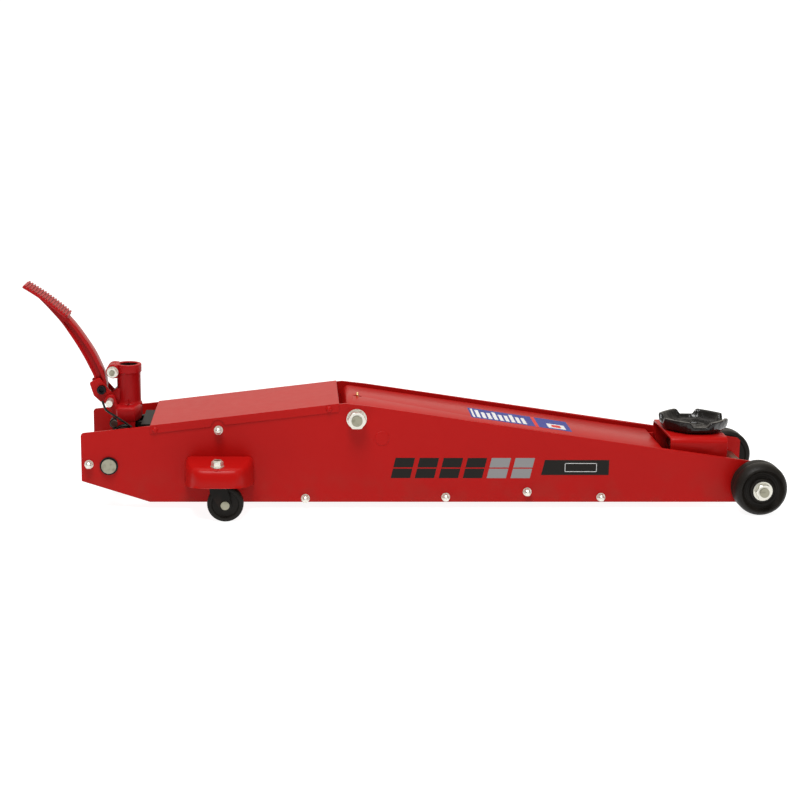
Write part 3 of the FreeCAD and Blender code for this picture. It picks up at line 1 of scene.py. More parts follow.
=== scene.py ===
"""A long-chassis trolley jack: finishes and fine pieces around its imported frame.

The frame is the working model: plates, linkage, hydraulic unit, wheels and fasteners.
This script gives every node a finish, rounds the edges of the pressed and cut plates,
and makes the pieces that a plain solid can't show, such as springs, cast surfaces,
weld beads, rivets and printed bars.  The classes hold their sizes in millimetres, and
meshes are in metres.
"""
from __future__ import annotations

import logging
import math
from dataclasses import dataclass
from enum import Enum
from typing import Callable, Sequence, Union

import bmesh
import bpy
from mathutils import Matrix, Vector, noise

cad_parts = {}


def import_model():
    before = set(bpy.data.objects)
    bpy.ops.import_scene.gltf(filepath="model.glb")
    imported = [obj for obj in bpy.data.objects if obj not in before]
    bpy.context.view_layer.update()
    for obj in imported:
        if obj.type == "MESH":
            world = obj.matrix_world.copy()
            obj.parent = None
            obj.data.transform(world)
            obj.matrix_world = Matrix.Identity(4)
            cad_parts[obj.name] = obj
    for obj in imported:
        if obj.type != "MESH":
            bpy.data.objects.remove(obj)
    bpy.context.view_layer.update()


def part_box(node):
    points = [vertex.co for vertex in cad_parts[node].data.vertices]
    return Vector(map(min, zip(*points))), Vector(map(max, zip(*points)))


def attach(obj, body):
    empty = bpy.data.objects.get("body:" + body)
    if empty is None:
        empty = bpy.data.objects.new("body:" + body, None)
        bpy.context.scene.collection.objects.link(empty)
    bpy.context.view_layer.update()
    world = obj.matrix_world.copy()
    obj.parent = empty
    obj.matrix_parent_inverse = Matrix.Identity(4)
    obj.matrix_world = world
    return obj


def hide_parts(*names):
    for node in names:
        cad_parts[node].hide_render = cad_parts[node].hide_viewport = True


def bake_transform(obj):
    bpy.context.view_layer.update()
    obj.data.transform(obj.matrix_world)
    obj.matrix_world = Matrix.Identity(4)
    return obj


logging.basicConfig(level=logging.INFO, format="%(name)s: %(message)s")
LOG = logging.getLogger("jack")
Number = Union[int, float]
Pair = tuple[float, float]
Colour = tuple[float, float, float, float]
Mesh = bmesh.types.BMesh

MM = 0.001
EDGE_BEND = math.radians(32)
ROUND_BEND = math.radians(28)
FLAT_BEND = math.radians(0.8)
MIX_FIRST, MIX_SECOND, MIX_RESULT = 6, 7, 2
SIDEWAYS = Matrix.Rotation(math.radians(-90), 3, "X")
TOWARDS = Matrix.Rotation(math.radians(90), 3, "X")
UPRIGHT = Matrix.Identity(3)
SIDES = (("left", 1), ("right", -1))


# ---------------------------------------------------------------- shader maths
class Wave:
    """A shader value that can be used in a Python expression."""

    def __init__(self, graph: "Nodes", socket: bpy.types.NodeSocket) -> None:
        """Keep the socket and the graph that it belongs to."""
        self.graph = graph
        self.socket = socket

    def _math(self, operation: str, *values: Union["Wave", Number]) -> "Wave":
        """Add one Math node and return its result."""
        return self.graph.add("ShaderNodeMath", {"operation": operation}, list(values))

    def __add__(self, other: Union["Wave", Number]) -> "Wave":
        """Sum."""
        return self._math("ADD", self, other)

    __radd__ = __add__

    def __sub__(self, other: Union["Wave", Number]) -> "Wave":
        """Difference."""
        return self._math("SUBTRACT", self, other)

    def __rsub__(self, other: Union["Wave", Number]) -> "Wave":
        """Difference with this value taken away."""
        return self._math("SUBTRACT", other, self)

    def __mul__(self, other: Union["Wave", Number]) -> "Wave":
        """Product."""
        return self._math("MULTIPLY", self, other)

    __rmul__ = __mul__

    def __truediv__(self, other: Union["Wave", Number]) -> "Wave":
        """Quotient."""
        return self._math("DIVIDE", self, other)

    def above(self, edge: Number, soft: Number) -> "Wave":
        """Rise from 0 to 1 as the value passes an edge.

        Args:
            edge: the value where the rise begins.
            soft: how far the rise takes.

        Returns:
            The clamped rise.
        """
        settings = {"interpolation_type": "SMOOTHSTEP"}
        return self.graph.add("ShaderNodeMapRange", settings,
                              {0: self, 1: edge, 2: edge + soft, 3: 0.0, 4: 1.0})

    def below(self, edge: Number, soft: Number) -> "Wave":
        """Fall from 1 to 0 as the value passes an edge."""
        return 1 - self.above(edge, soft)


class Nodes:
    """A node tree, with one method that adds any node to it."""

    tree: bpy.types.NodeTree

    def add(self, kind: str, settings: dict, values: Union[dict, list],
            result: Union[int, str] = 0) -> Wave:
        """Add any node.

        Args:
            kind: the node's type.
            settings: the node's own properties, set before its sockets.
            values: what goes into its sockets, by position or by name.
            result: which output to return, by position or by name.

        Returns:
            The chosen output.
        """
        node = self.tree.nodes.new(kind)
        for key, value in settings.items():
            setattr(node, key, value)
        pairs = values.items() if isinstance(values, dict) else enumerate(values)
        for key, value in pairs:
            self.feed(node.inputs[key], value)
        return Wave(self, node.outputs[result])

    def feed(self, socket: bpy.types.NodeSocket, value: object) -> None:
        """Link a value to a socket, or set it there.

        Args:
            socket: the socket.
            value: a shader value to link, or a constant to set.
        """
        if isinstance(value, Wave):
            self.tree.links.new(value.socket, socket)
        else:
            socket.default_value = value


class Graph(Nodes):
    """The node tree of one material, with a Principled shader at its end."""

    def __init__(self, name: str) -> None:
        """Start a material with an empty tree and its shader.

        Args:
            name: the material's name.
        """
        self.material = bpy.data.materials.new(name)
        self.material.use_nodes = True
        self.tree = self.material.node_tree
        self.tree.nodes.clear()
        self.shader = self.tree.nodes.new("ShaderNodeBsdfPrincipled")
        output = self.tree.nodes.new("ShaderNodeOutputMaterial")
        self.tree.links.new(self.shader.outputs[0], output.inputs[0])
        self.place = self.add("ShaderNodeTexCoord", {}, {}, "Object")

    def noise(self, scale: Number, detail: Number = 2.0, stretch: Sequence[Number] = (1, 1, 1),
              rough: Number = 0.5) -> Wave:
        """Cloudy noise on the object's own coordinates.

        Args:
            scale: how many clouds lie along a metre.
            detail: how many finer layers it has.
            stretch: how its place is scaled along each axis.
            rough: how strong the finer layers are.

        Returns:
            The noise, from 0 to 1.
        """
        place = self.add("ShaderNodeMapping", {}, {"Vector": self.place, "Scale": tuple(stretch)})
        return self.add("ShaderNodeTexNoise", {}, {"Vector": place, "Scale": scale,
                                                   "Detail": detail, "Roughness": rough})

    def cells(self, scale: Number) -> Wave:
        """Distance from scattered points, for specks and pits."""
        return self.add("ShaderNodeTexVoronoi", {}, {"Vector": self.place, "Scale": scale})

    def height(self) -> Wave:
        """Height above the floor."""
        return self.add("ShaderNodeSeparateXYZ", {}, {0: self.place}, 2)

    def blend(self, share: Wave, first: object, second: object) -> Wave:
        """Mix two colours, from the first at 0 to the second at 1."""
        return self.add("ShaderNodeMix", {"data_type": "RGBA"},
                        {0: share, MIX_FIRST: first, MIX_SECOND: second}, MIX_RESULT)

    def bump(self, height: Wave, depth: Number, under: Wave | None = None) -> Wave:
        """Tilt the surface by a height.

        Args:
            height: the height, as a share of the depth.
            depth: how many metres a height of 1 stands for.
            under: a normal that is tilted already, or nothing for the plain surface.

        Returns:
            The tilted normal.
        """
        values = {"Height": height, "Distance": depth, "Strength": 1.0}
        if under is not None:
            values["Normal"] = under
        return self.add("ShaderNodeBump", {}, values)

    def finish(self, **sockets: object) -> bpy.types.Material:
        """Feed the shader, with underscores for spaces in socket names."""
        for key, value in sockets.items():
            self.feed(self.shader.inputs[key.replace("_", " ")], value)
        return self.material


def srgb(*levels: int) -> Colour:
    """Turn a screen colour into the linear colour that a shader takes.

    Args:
        levels: its red, green and blue, from 0 to 255.

    Returns:
        Red, green, blue and an alpha of 1.
    """
    shares = [level / 255 for level in levels]
    red, green, blue = (s / 12.92 if s <= 0.04045 else ((s + 0.055) / 1.055) ** 2.4 for s in shares)
    return red, green, blue, 1.0


# ---------------------------------------------------------------- finishes
DUST = srgb(96, 62, 52)
SPECK = srgb(60, 24, 22)
WORN_INK = srgb(140, 120, 115)


@dataclass(frozen=True)
class Enamel:
    """Sprayed paint over steel: orange peel, dust specks and a soft gloss."""

    name: str
    colour: Colour
    shade: Colour
    gloss: float = 0.3
    sheen: float = 0.1
    peel: float = 0.00004
    lumps: float = 0.0

    def build(self) -> bpy.types.Material:
        """Make the material, with dust near the floor.

        Returns:
            The new material.
        """
        graph = Graph(self.name)
        drift = graph.noise(7, 3)
        specks = graph.cells(310).below(0.035, 0.02) * graph.noise(38, 2).above(0.56, 0.05)
        dust = graph.height().below(0.02, 0.09) * graph.noise(24, 4).above(0.4, 0.3) * 0.14
        base = graph.blend(drift, self.colour, self.shade)
        base = graph.blend(dust, base, DUST)
        base = graph.blend(specks * 0.5, base, SPECK)
        peel = graph.noise(620, 2) * 0.6 + graph.noise(210, 1) * 0.4
        rough = self.gloss + graph.noise(60, 3) * 0.08 + dust * 0.3
        normal = graph.bump(peel, self.peel)
        if self.lumps:
            rolling = graph.noise(90, 3) + graph.noise(26, 2) * 1.5
            normal = graph.bump(rolling, self.lumps, normal)
        return graph.finish(Base_Color=base, Roughness=rough, Normal=normal,
                            Specular_IOR_Level=self.sheen)


@dataclass(frozen=True)
class Plated:
    """Bare or plated metal with fine marks."""

    name: str
    colour: Colour
    stain: Colour
    gloss: float = 0.28
    along: tuple[float, float, float] = (1, 1, 1)
    depth: float = 0.00003

    def build(self) -> bpy.types.Material:
        """Make the material, with patches of tarnish.

        Returns:
            The new material.
        """
        graph = Graph(self.name)
        marks = graph.noise(900, 4, self.along, 0.65)
        tarnish = graph.noise(130, 4).above(0.45, 0.3)
        base = graph.blend(tarnish * 0.6, self.colour, self.stain)
        rough = self.gloss + marks * 0.14 + tarnish * 0.12
        return graph.finish(Base_Color=base, Metallic=1.0, Roughness=rough,
                            Normal=graph.bump(marks, self.depth))


@dataclass(frozen=True)
class Moulded:
    """Hard plastic or rubber with a moulded grain and scuffs."""

    name: str
    colour: Colour
    scuff: Colour
    gloss: float = 0.42
    sheen: float = 0.16
    depth: float = 0.00004

    def build(self) -> bpy.types.Material:
        """Make the material, with scuffs across it.

        Returns:
            The new material.
        """
        graph = Graph(self.name)
        grain = graph.noise(1300, 2)
        scuffs = graph.noise(240, 5, (1, 0.25, 1), 0.7).above(0.6, 0.12)
        base = graph.blend(scuffs * 0.35 + graph.noise(30, 2) * 0.25, self.colour, self.scuff)
        rough = self.gloss + grain * 0.1 + scuffs * 0.2
        return graph.finish(Base_Color=base, Roughness=rough,
                            Normal=graph.bump(grain, self.depth), Specular_IOR_Level=self.sheen)


@dataclass(frozen=True)
class Ink:
    """A printed film, with a faint print grain."""

    name: str
    colour: Colour
    gloss: float = 0.35
    sheen: float = 0.1
    depth: float = 0.00001

    def build(self) -> bpy.types.Material:
        """Make the material, worn in spots.

        Returns:
            The new material.
        """
        graph = Graph(self.name)
        grain = graph.noise(500, 2)
        worn = graph.noise(120, 5, rough=0.7).above(0.66, 0.05) * 0.35
        base = graph.blend(worn, self.colour, WORN_INK)
        return graph.finish(Base_Color=base, Roughness=self.gloss + grain * 0.1,
                            Normal=graph.bump(grain, self.depth), Specular_IOR_Level=self.sheen)


class Finish(Enum):
    """Every finish that the jack has."""

    RED = Enamel("red_enamel", srgb(170, 17, 15), srgb(159, 15, 13), 0.27)
    RED_CAST = Enamel("red_cast_enamel", srgb(164, 16, 19), srgb(140, 12, 15), 0.3, 0.12, 0.00008)
    BLACK = Enamel("black_enamel", srgb(24, 22, 19), srgb(17, 16, 14), 0.42, 0.12)
    SADDLE = Enamel("saddle_enamel", srgb(22, 20, 18), srgb(15, 14, 13), 0.2, 0.4, 0.0001, 0.0018)
    ZINC = Plated("zinc_plate", srgb(186, 183, 158), srgb(146, 142, 117))
    STEEL = Plated("turned_steel", srgb(150, 148, 131), srgb(120, 117, 101), 0.26, (1, 0.08, 1))
    GREY_STEEL = Plated("oiled_steel", srgb(112, 107, 99), srgb(78, 73, 66), 0.36)
    SPRING = Plated("spring_steel", srgb(52, 51, 49), srgb(34, 33, 32), 0.3)
    OXIDE = Plated("black_oxide", srgb(40, 40, 42), srgb(26, 26, 28), 0.4)
    BRASS = Plated("brass", srgb(214, 174, 92), srgb(170, 130, 60), 0.2)
    NYLON = Moulded("wheel_nylon", srgb(21, 18, 15), srgb(37, 33, 28))
    RUBBER = Moulded("plug_rubber", srgb(24, 23, 22), srgb(40, 38, 36), 0.6)
    BLACK_INK = Ink("black_film", srgb(30, 28, 26))
    GREY_INK = Ink("grey_film", srgb(132, 131, 132))
    BLUE_INK = Ink("blue_film", srgb(40, 52, 130))
    WHITE_INK = Ink("white_film", srgb(206, 206, 206))
    RED_INK = Ink("red_film", srgb(196, 40, 34))

    def material(self) -> bpy.types.Material:
        """The material, made the first time that it's wanted."""
        found = bpy.data.materials.get(self.value.name)
        return found or self.value.build()


NODE_FINISH: dict[Finish, tuple[str, ...]] = {
    Finish.RED: ("side_plate_left", "side_plate_right", "cross_plates", "rear_cover",
                 "cover_screws", "caster_bracket_left", "caster_bracket_right", "arm_top_plate",
                 "arm_side_plates", "arm_cranks", "saddle_bracket", "pedal_cheeks", "rod_anchors"),
    Finish.RED_CAST: ("pedal_arm", "pedal_pad", "handle_socket"),
    Finish.BLACK: ("pump_block", "reservoir", "cylinder", "radius_rods", "caster_fork_left",
                   "caster_fork_right", "pump_lever"),
    Finish.SADDLE: ("saddle",),
    Finish.ZINC: ("acorn_nuts", "axle_nuts", "axle_washers", "pivot_nut", "pivot_washers",
                  "clamp_nut", "caster_nuts", "saddle_retainer", "pedal_pin"),
    Finish.STEEL: ("tie_rods", "pivot_bolt", "caster_studs", "unit_shaft", "ram", "rod_pin",
                   "arm_front_pin", "front_axle", "plunger", "clamp_bolt", "pump_roller"),
    Finish.GREY_STEEL: ("crosshead", "arm_pivot_tube", "crank_pin", "socket_shaft",
                        "release_spigot", "release_valve", "gland_nut"),
    Finish.SPRING: ("torsion_spring",),
    Finish.OXIDE: ("pedal_bolt", "shaft_circlips"),
    Finish.BRASS: ("grease_nipple",),
    Finish.NYLON: ("front_wheel_left", "front_wheel_right", "caster_wheel_left",
                   "caster_wheel_right"),
    Finish.RUBBER: ("filler_plug",),
}


# ---------------------------------------------------------------- mesh helpers
def placed(name: str, mesh: Mesh) -> bpy.types.Object:
    """Turn a bmesh, which is used up, into an object of the scene.

    Args:
        name: the object's name.
        mesh: its geometry, in the frame's own coordinates.

    Returns:
        The new object.
    """
    data = bpy.data.meshes.new(name)
    mesh.to_mesh(data)
    mesh.free()
    item = bpy.data.objects.new(name, data)
    bpy.context.scene.collection.objects.link(item)
    return item


def removed(item: bpy.types.Object) -> None:
    """Remove a helper object and its mesh."""
    data = item.data
    bpy.data.objects.remove(item)
    bpy.data.meshes.remove(data)


def solved(item: bpy.types.Object) -> Mesh:
    """Take what an object's modifiers give, and remove the object.

    Args:
        item: the object, which is used up.

    Returns:
        The result, as a bmesh of its own.
    """
    bpy.context.view_layer.update()
    graph = bpy.context.evaluated_depsgraph_get()
    result = bpy.data.meshes.new_from_object(item.evaluated_get(graph), depsgraph=graph)
    mesh = bmesh.new()
    mesh.from_mesh(result)
    removed(item)
    bpy.data.meshes.remove(result)
    return mesh


def dress(piece: bpy.types.Object, finish: Finish) -> None:
    """Give a piece one finish all over."""
    piece.data.materials.clear()
    piece.data.materials.append(finish.material())


def made(name: str, mesh: Mesh, body: str, finish: Finish,
         smooth: bool = True) -> bpy.types.Object:
    """Turn a bmesh into a piece that rides on a body.

    Args:
        name: the piece's name.
        mesh: its geometry, in the frame's own coordinates.
        body: the body that it moves with, or nothing for a piece that rides on no body.
        finish: its finish.
        smooth: whether its faces are shaded smoothly.

    Returns:
        The new object.
    """
    piece = placed(name, mesh)
    if smooth:
        piece.data.shade_smooth()
        piece.data.set_sharp_from_angle(angle=EDGE_BEND)
    dress(piece, finish)
    if body:
        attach(piece, body)
    return piece


def copy_of(node: str) -> Mesh:
    """Copy a CAD node's mesh, with its seams merged and its flats whole.

    Args:
        node: the node's name.

    Returns:
        The copy.
    """
    mesh = bmesh.new()
    mesh.from_mesh(bpy.data.objects[node].data)
    bmesh.ops.remove_doubles(mesh, verts=mesh.verts, dist=2e-6)
    bmesh.ops.dissolve_limit(mesh, angle_limit=math.radians(0.6), verts=mesh.verts,
                             edges=mesh.edges, delimit=set())
    return mesh


def bevelled(mesh: Mesh, bend: float, width: float) -> list[bmesh.types.BMFace]:
    """Round the edges of a mesh that bend by more than an angle.

    Args:
        mesh: the mesh, which is changed.
        bend: the angle.
        width: how far the rounding reaches from each edge, in metres.

    Returns:
        The new faces.
    """
    sharp = [e for e in mesh.edges if len(e.link_faces) == 2 and e.calc_face_angle(0) > bend]
    fresh = bmesh.ops.bevel(mesh, geom=sharp, offset=width, offset_type="OFFSET", segments=2,
                            profile=0.5, affect="EDGES", clamp_overlap=True)
    return fresh["faces"]


def soften(mesh: Mesh, width: float) -> None:
    """Round the sharp edges of a mesh, and keep its broad flats flat.

    Args:
        mesh: the mesh, which is changed.
        width: how far the rounding reaches from each edge, in metres.
    """
    for face in mesh.faces:
        bends = [e.calc_face_angle(0) for e in face.edges if len(e.link_faces) == 2]
        face.smooth = any(FLAT_BEND < bend < ROUND_BEND for bend in bends)
    for face in bevelled(mesh, ROUND_BEND, width):
        face.smooth = True
    bmesh.ops.triangulate(mesh, faces=[f for f in mesh.faces if len(f.verts) > 4])


def add_mesh(mesh: Mesh, extra: Mesh) -> None:
    """Add one bmesh to another and free it.

    Args:
        mesh: the bmesh that grows.
        extra: the bmesh that is used up.
    """
    data = bpy.data.meshes.new("joined")
    extra.to_mesh(data)
    extra.free()
    mesh.from_mesh(data)
    bpy.data.meshes.remove(data)


def skin(rings: Sequence[Sequence[Vector]], closed: bool = False) -> Mesh:
    """Skin a row of rings, each with as many points as the next.

    Args:
        rings: the points of every ring.
        closed: whether the last ring joins the first, where both are capped otherwise.

    Returns:
        The new mesh.
    """
    mesh = bmesh.new()
    rows = [[mesh.verts.new(point) for point in ring] for ring in rings]
    count = len(rows[0])
    for low, high in zip(rows, rows[1:] + rows[:1] if closed else rows[1:]):
        for i in range(count):
            j = (i + 1) % count
            mesh.faces.new((low[i], low[j], high[j], high[i]))
    if not closed:
        mesh.faces.new(rows[0][::-1])
        mesh.faces.new(rows[-1])
        bmesh.ops.recalc_face_normals(mesh, faces=mesh.faces)
    return mesh


def circle(radius: float, steps: int) -> list[Pair]:
    """Points round a circle about zero."""
    turns = [math.tau * k / steps for k in range(steps)]
    return [(radius * math.cos(turn), radius * math.sin(turn)) for turn in turns]


def arc(centre: Pair, radius: float, start: float, end: float, steps: int = 6) -> list[Pair]:
    """Points of a rounded corner.

    Args:
        centre: its centre.
        radius: its radius.
        start: the angle of its first point, in degrees.
        end: the angle of its last point.
        steps: how many steps lie between them.

    Returns:
        The points.
    """
    turns = [math.radians(start + (end - start) * k / steps) for k in range(steps + 1)]
    return [(centre[0] + radius * math.cos(turn), centre[1] + radius * math.sin(turn))
            for turn in turns]


def corner(radius: float, along: float) -> float:
    """How far a quarter-round corner falls back at a distance along from its end."""
    past = radius - min(along, radius)
    return radius - math.sqrt(max(0.0, radius ** 2 - past ** 2))


def turned(profile: Sequence[Pair], centre: Vector, turn: Matrix, steps: int) -> Mesh:
    """Spin a closed profile round an axis.

    Args:
        profile: its points as (radius, along) in millimetres; some may lie on the axis.
        centre: where along = 0 lies on the axis.
        turn: a rotation that takes +Z to the axis.
        steps: how many steps the spin has.

    Returns:
        The new mesh.
    """
    mesh = skin([[Vector((x, y, along * MM)) for x, y in circle(radius * MM, steps)]
                 for radius, along in profile], closed=True)
    bmesh.ops.remove_doubles(mesh, verts=mesh.verts, dist=1e-7)
    bmesh.ops.dissolve_degenerate(mesh, edges=mesh.edges, dist=1e-8)
    bmesh.ops.recalc_face_normals(mesh, faces=mesh.faces)
    bmesh.ops.transform(mesh, matrix=Matrix.Translation(centre) @ turn.to_4x4(), verts=mesh.verts)
    return mesh


def prism(mesh: Mesh, outline: Sequence[Pair], near: float, far: float, width: float) -> None:
    """Add a plate with rounded edges, with every size in millimetres.

    Args:
        mesh: where it goes.
        outline: its outline in X and Z.
        near: the Y of one face.
        far: the Y of the other face.
        width: how far its rounding reaches from each edge.
    """
    part = skin([[Vector((x, y, z)) * MM for x, z in outline] for y in (near, far)])
    soften(part, width * MM)
    add_mesh(mesh, part)


def path_mesh(points: Sequence[Vector], closed: bool = False) -> Mesh:
    """Edges through points, to start a wire or a weld from.

    Args:
        points: the points in order.
        closed: whether the last joins the first.

    Returns:
        The new mesh.
    """
    mesh = bmesh.new()
    verts = [mesh.verts.new(point) for point in points]
    for first, second in zip(verts, verts[1:] + (verts[:1] if closed else [])):
        mesh.edges.new((first, second))
    return mesh


def curve_through(points: Sequence[Pair], share: float) -> Pair:
    """Find a point on a smooth curve through points.

    Args:
        points: the points in order.
        share: how far along the curve, from 0 to 1.

    Returns:
        The point.
    """
    place = share * (len(points) - 1)
    i = min(int(place), len(points) - 2)
    f = place - i
    near = [points[max(0, min(len(points) - 1, i + k))] for k in (-1, 0, 1, 2)]
    u, v = (0.5 * (2 * b + (c - a) * f + (2 * a - 5 * b + 4 * c - d) * f * f
                   + (3 * b - a - 3 * c + d) * f ** 3) for a, b, c, d in zip(*near))
    return u, v


def middle(node: str) -> Vector:
    """The middle of a node's box."""
    low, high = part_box(node)
    return (Vector(low) + Vector(high)) / 2


# ---------------------------------------------------------------- geometry recipes
class Recipe(Nodes):
    """A geometry node tree with named sizes that ends in one plain mesh."""

    def __init__(self, name: str, sizes: dict[str, Number]) -> None:
        """Start a tree.

        Args:
            name: the tree's name.
            sizes: its inputs, with their usual values.
        """
        self.tree = bpy.data.node_groups.new(name, "GeometryNodeTree")
        face = self.tree.interface
        face.new_socket("Geometry", in_out="INPUT", socket_type="NodeSocketGeometry")
        face.new_socket("Geometry", in_out="OUTPUT", socket_type="NodeSocketGeometry")
        self.keys: dict[str, str] = {}
        for label, value in sizes.items():
            kind = "NodeSocketInt" if isinstance(value, int) else "NodeSocketFloat"
            socket = face.new_socket(label, in_out="INPUT", socket_type=kind)
            socket.default_value = value
            self.keys[label] = socket.identifier
        self.entry = self.tree.nodes.new("NodeGroupInput")
        self.exit = self.tree.nodes.new("NodeGroupOutput")
        self.paint = self.tree.nodes.new("GeometryNodeSetMaterial")
        self.tree.links.new(self.paint.outputs[0], self.exit.inputs[0])

    def size(self, label: str) -> Wave:
        """One of the named inputs."""
        return Wave(self, self.entry.outputs[label])

    def source(self) -> Wave:
        """The geometry that comes in."""
        return Wave(self, self.entry.outputs["Geometry"])

    def end(self, result: Wave) -> None:
        """Make the result real and send it to the output."""
        real = self.add("GeometryNodeRealizeInstances", {}, [result])
        self.tree.links.new(real.socket, self.paint.inputs[0])

    def sweep(self, path: Wave) -> None:
        """End the tree with round wire along a path, sized by two of the named inputs."""
        ring = self.add("GeometryNodeCurvePrimitiveCircle", {"mode": "RADIUS"},
                        {"Resolution": self.size("Sides"), "Radius": self.size("Wire Radius")})
        self.end(self.add("GeometryNodeCurveToMesh", {},
                          {"Curve": path, "Profile Curve": ring, "Fill Caps": True}))

    def make(self, finish: Finish, sizes: dict[str, Number], source: Mesh | None = None) -> Mesh:
        """Run the tree.

        Args:
            finish: the finish that the tree sets.
            sizes: values for the named inputs.
            source: a mesh to start from, or nothing.

        Returns:
            The result, as a bmesh of its own.
        """
        carrier = placed("carrier", bmesh.new() if source is None else source)
        self.paint.inputs["Material"].default_value = finish.material()
        step = carrier.modifiers.new("recipe", "NODES")
        step.node_group = self.tree
        for label, value in sizes.items():
            step[self.keys[label]] = value
        return solved(carrier)


class Wire(Recipe):
    """Round wire along a path of edges."""

    def __init__(self) -> None:
        """Build the tree."""
        super().__init__("wire", {"Wire Radius": 0.0015, "Sides": 14})
        self.sweep(self.add("GeometryNodeMeshToCurve", {}, [self.source()]))


class Coil(Recipe):
    """A helix of wire that stands up along Z."""

    def __init__(self) -> None:
        """Build the tree."""
        super().__init__("coil", {"Turns": 6.0, "Radius": 0.01, "Length": 0.03,
                                  "Wire Radius": 0.001, "Points": 28, "Sides": 10})
        self.sweep(self.add("GeometryNodeCurveSpiral", {}, {
            "Resolution": self.size("Points"), "Rotations": self.size("Turns"),
            "Start Radius": self.size("Radius"), "End Radius": self.size("Radius"),
            "Height": self.size("Length")}))


class RibRow(Recipe):
    """Ribs in a row over a gently arched tread."""

    def __init__(self) -> None:
        """Build the tree."""
        super().__init__("rib_row", {"Count": 16, "Pitch": 0.006, "Arch Radius": 0.5,
                                     "Start": 0.003})
        line = self.add("GeometryNodeMeshLine", {}, {"Count": self.size("Count"),
                                                     "Offset": (0.0, 0.0, 0.0)})
        index = self.add("GeometryNodeInputIndex", {}, {})
        along = self.size("Start") + index * self.size("Pitch")
        middle = self.size("Start") + self.size("Pitch") * (self.size("Count") - 1) / 2
        out = along - middle
        drop = out * out / (self.size("Arch Radius") * 2)
        place = self.add("ShaderNodeCombineXYZ", {}, {"X": along, "Z": -1 * drop})
        lean = self.add("ShaderNodeCombineXYZ", {}, {"Y": out / self.size("Arch Radius")})
        points = self.add("GeometryNodeSetPosition", {}, {"Geometry": line, "Position": place})
        self.end(self.add("GeometryNodeInstanceOnPoints", {}, {
            "Points": points, "Instance": self.source(), "Rotation": lean}))


class Ring(Recipe):
    """Copies of one small shape round an axis along Z."""

    def __init__(self) -> None:
        """Build the tree."""
        super().__init__("ring", {"Count": 12, "Radius": 0.03})
        circle = self.add("GeometryNodeMeshCircle", {}, {"Vertices": self.size("Count"),
                                                         "Radius": self.size("Radius")})
        index = self.add("GeometryNodeInputIndex", {}, {})
        turn = index * math.tau / self.size("Count")
        lean = self.add("ShaderNodeCombineXYZ", {}, {"Z": turn})
        self.end(self.add("GeometryNodeInstanceOnPoints", {}, {
            "Points": circle, "Instance": self.source(), "Rotation": lean}))


class WeldBead(Recipe):
    """Overlapping flattened drops along a path of edges, as a weld lies."""

    def __init__(self) -> None:
        """Build the tree."""
        super().__init__("weld_bead", {"Bead Radius": 0.0025, "Step": 0.0022})
        path = self.add("GeometryNodeMeshToCurve", {}, [self.source()])
        dots = self.add("GeometryNodeCurveToPoints", {"mode": "LENGTH"},
                        {"Curve": path, "Length": self.size("Step")})
        drop = self.add("GeometryNodeMeshIcoSphere", {}, {"Radius": self.size("Bead Radius"),
                                                          "Subdivisions": 2})
        vary = self.add("FunctionNodeRandomValue", {"data_type": "FLOAT"},
                        {"Min": 0.82, "Max": 1.12, "Seed": 7}, 1)
        self.end(self.add("GeometryNodeInstanceOnPoints", {}, {
            "Points": dots, "Instance": drop, "Scale": vary}))


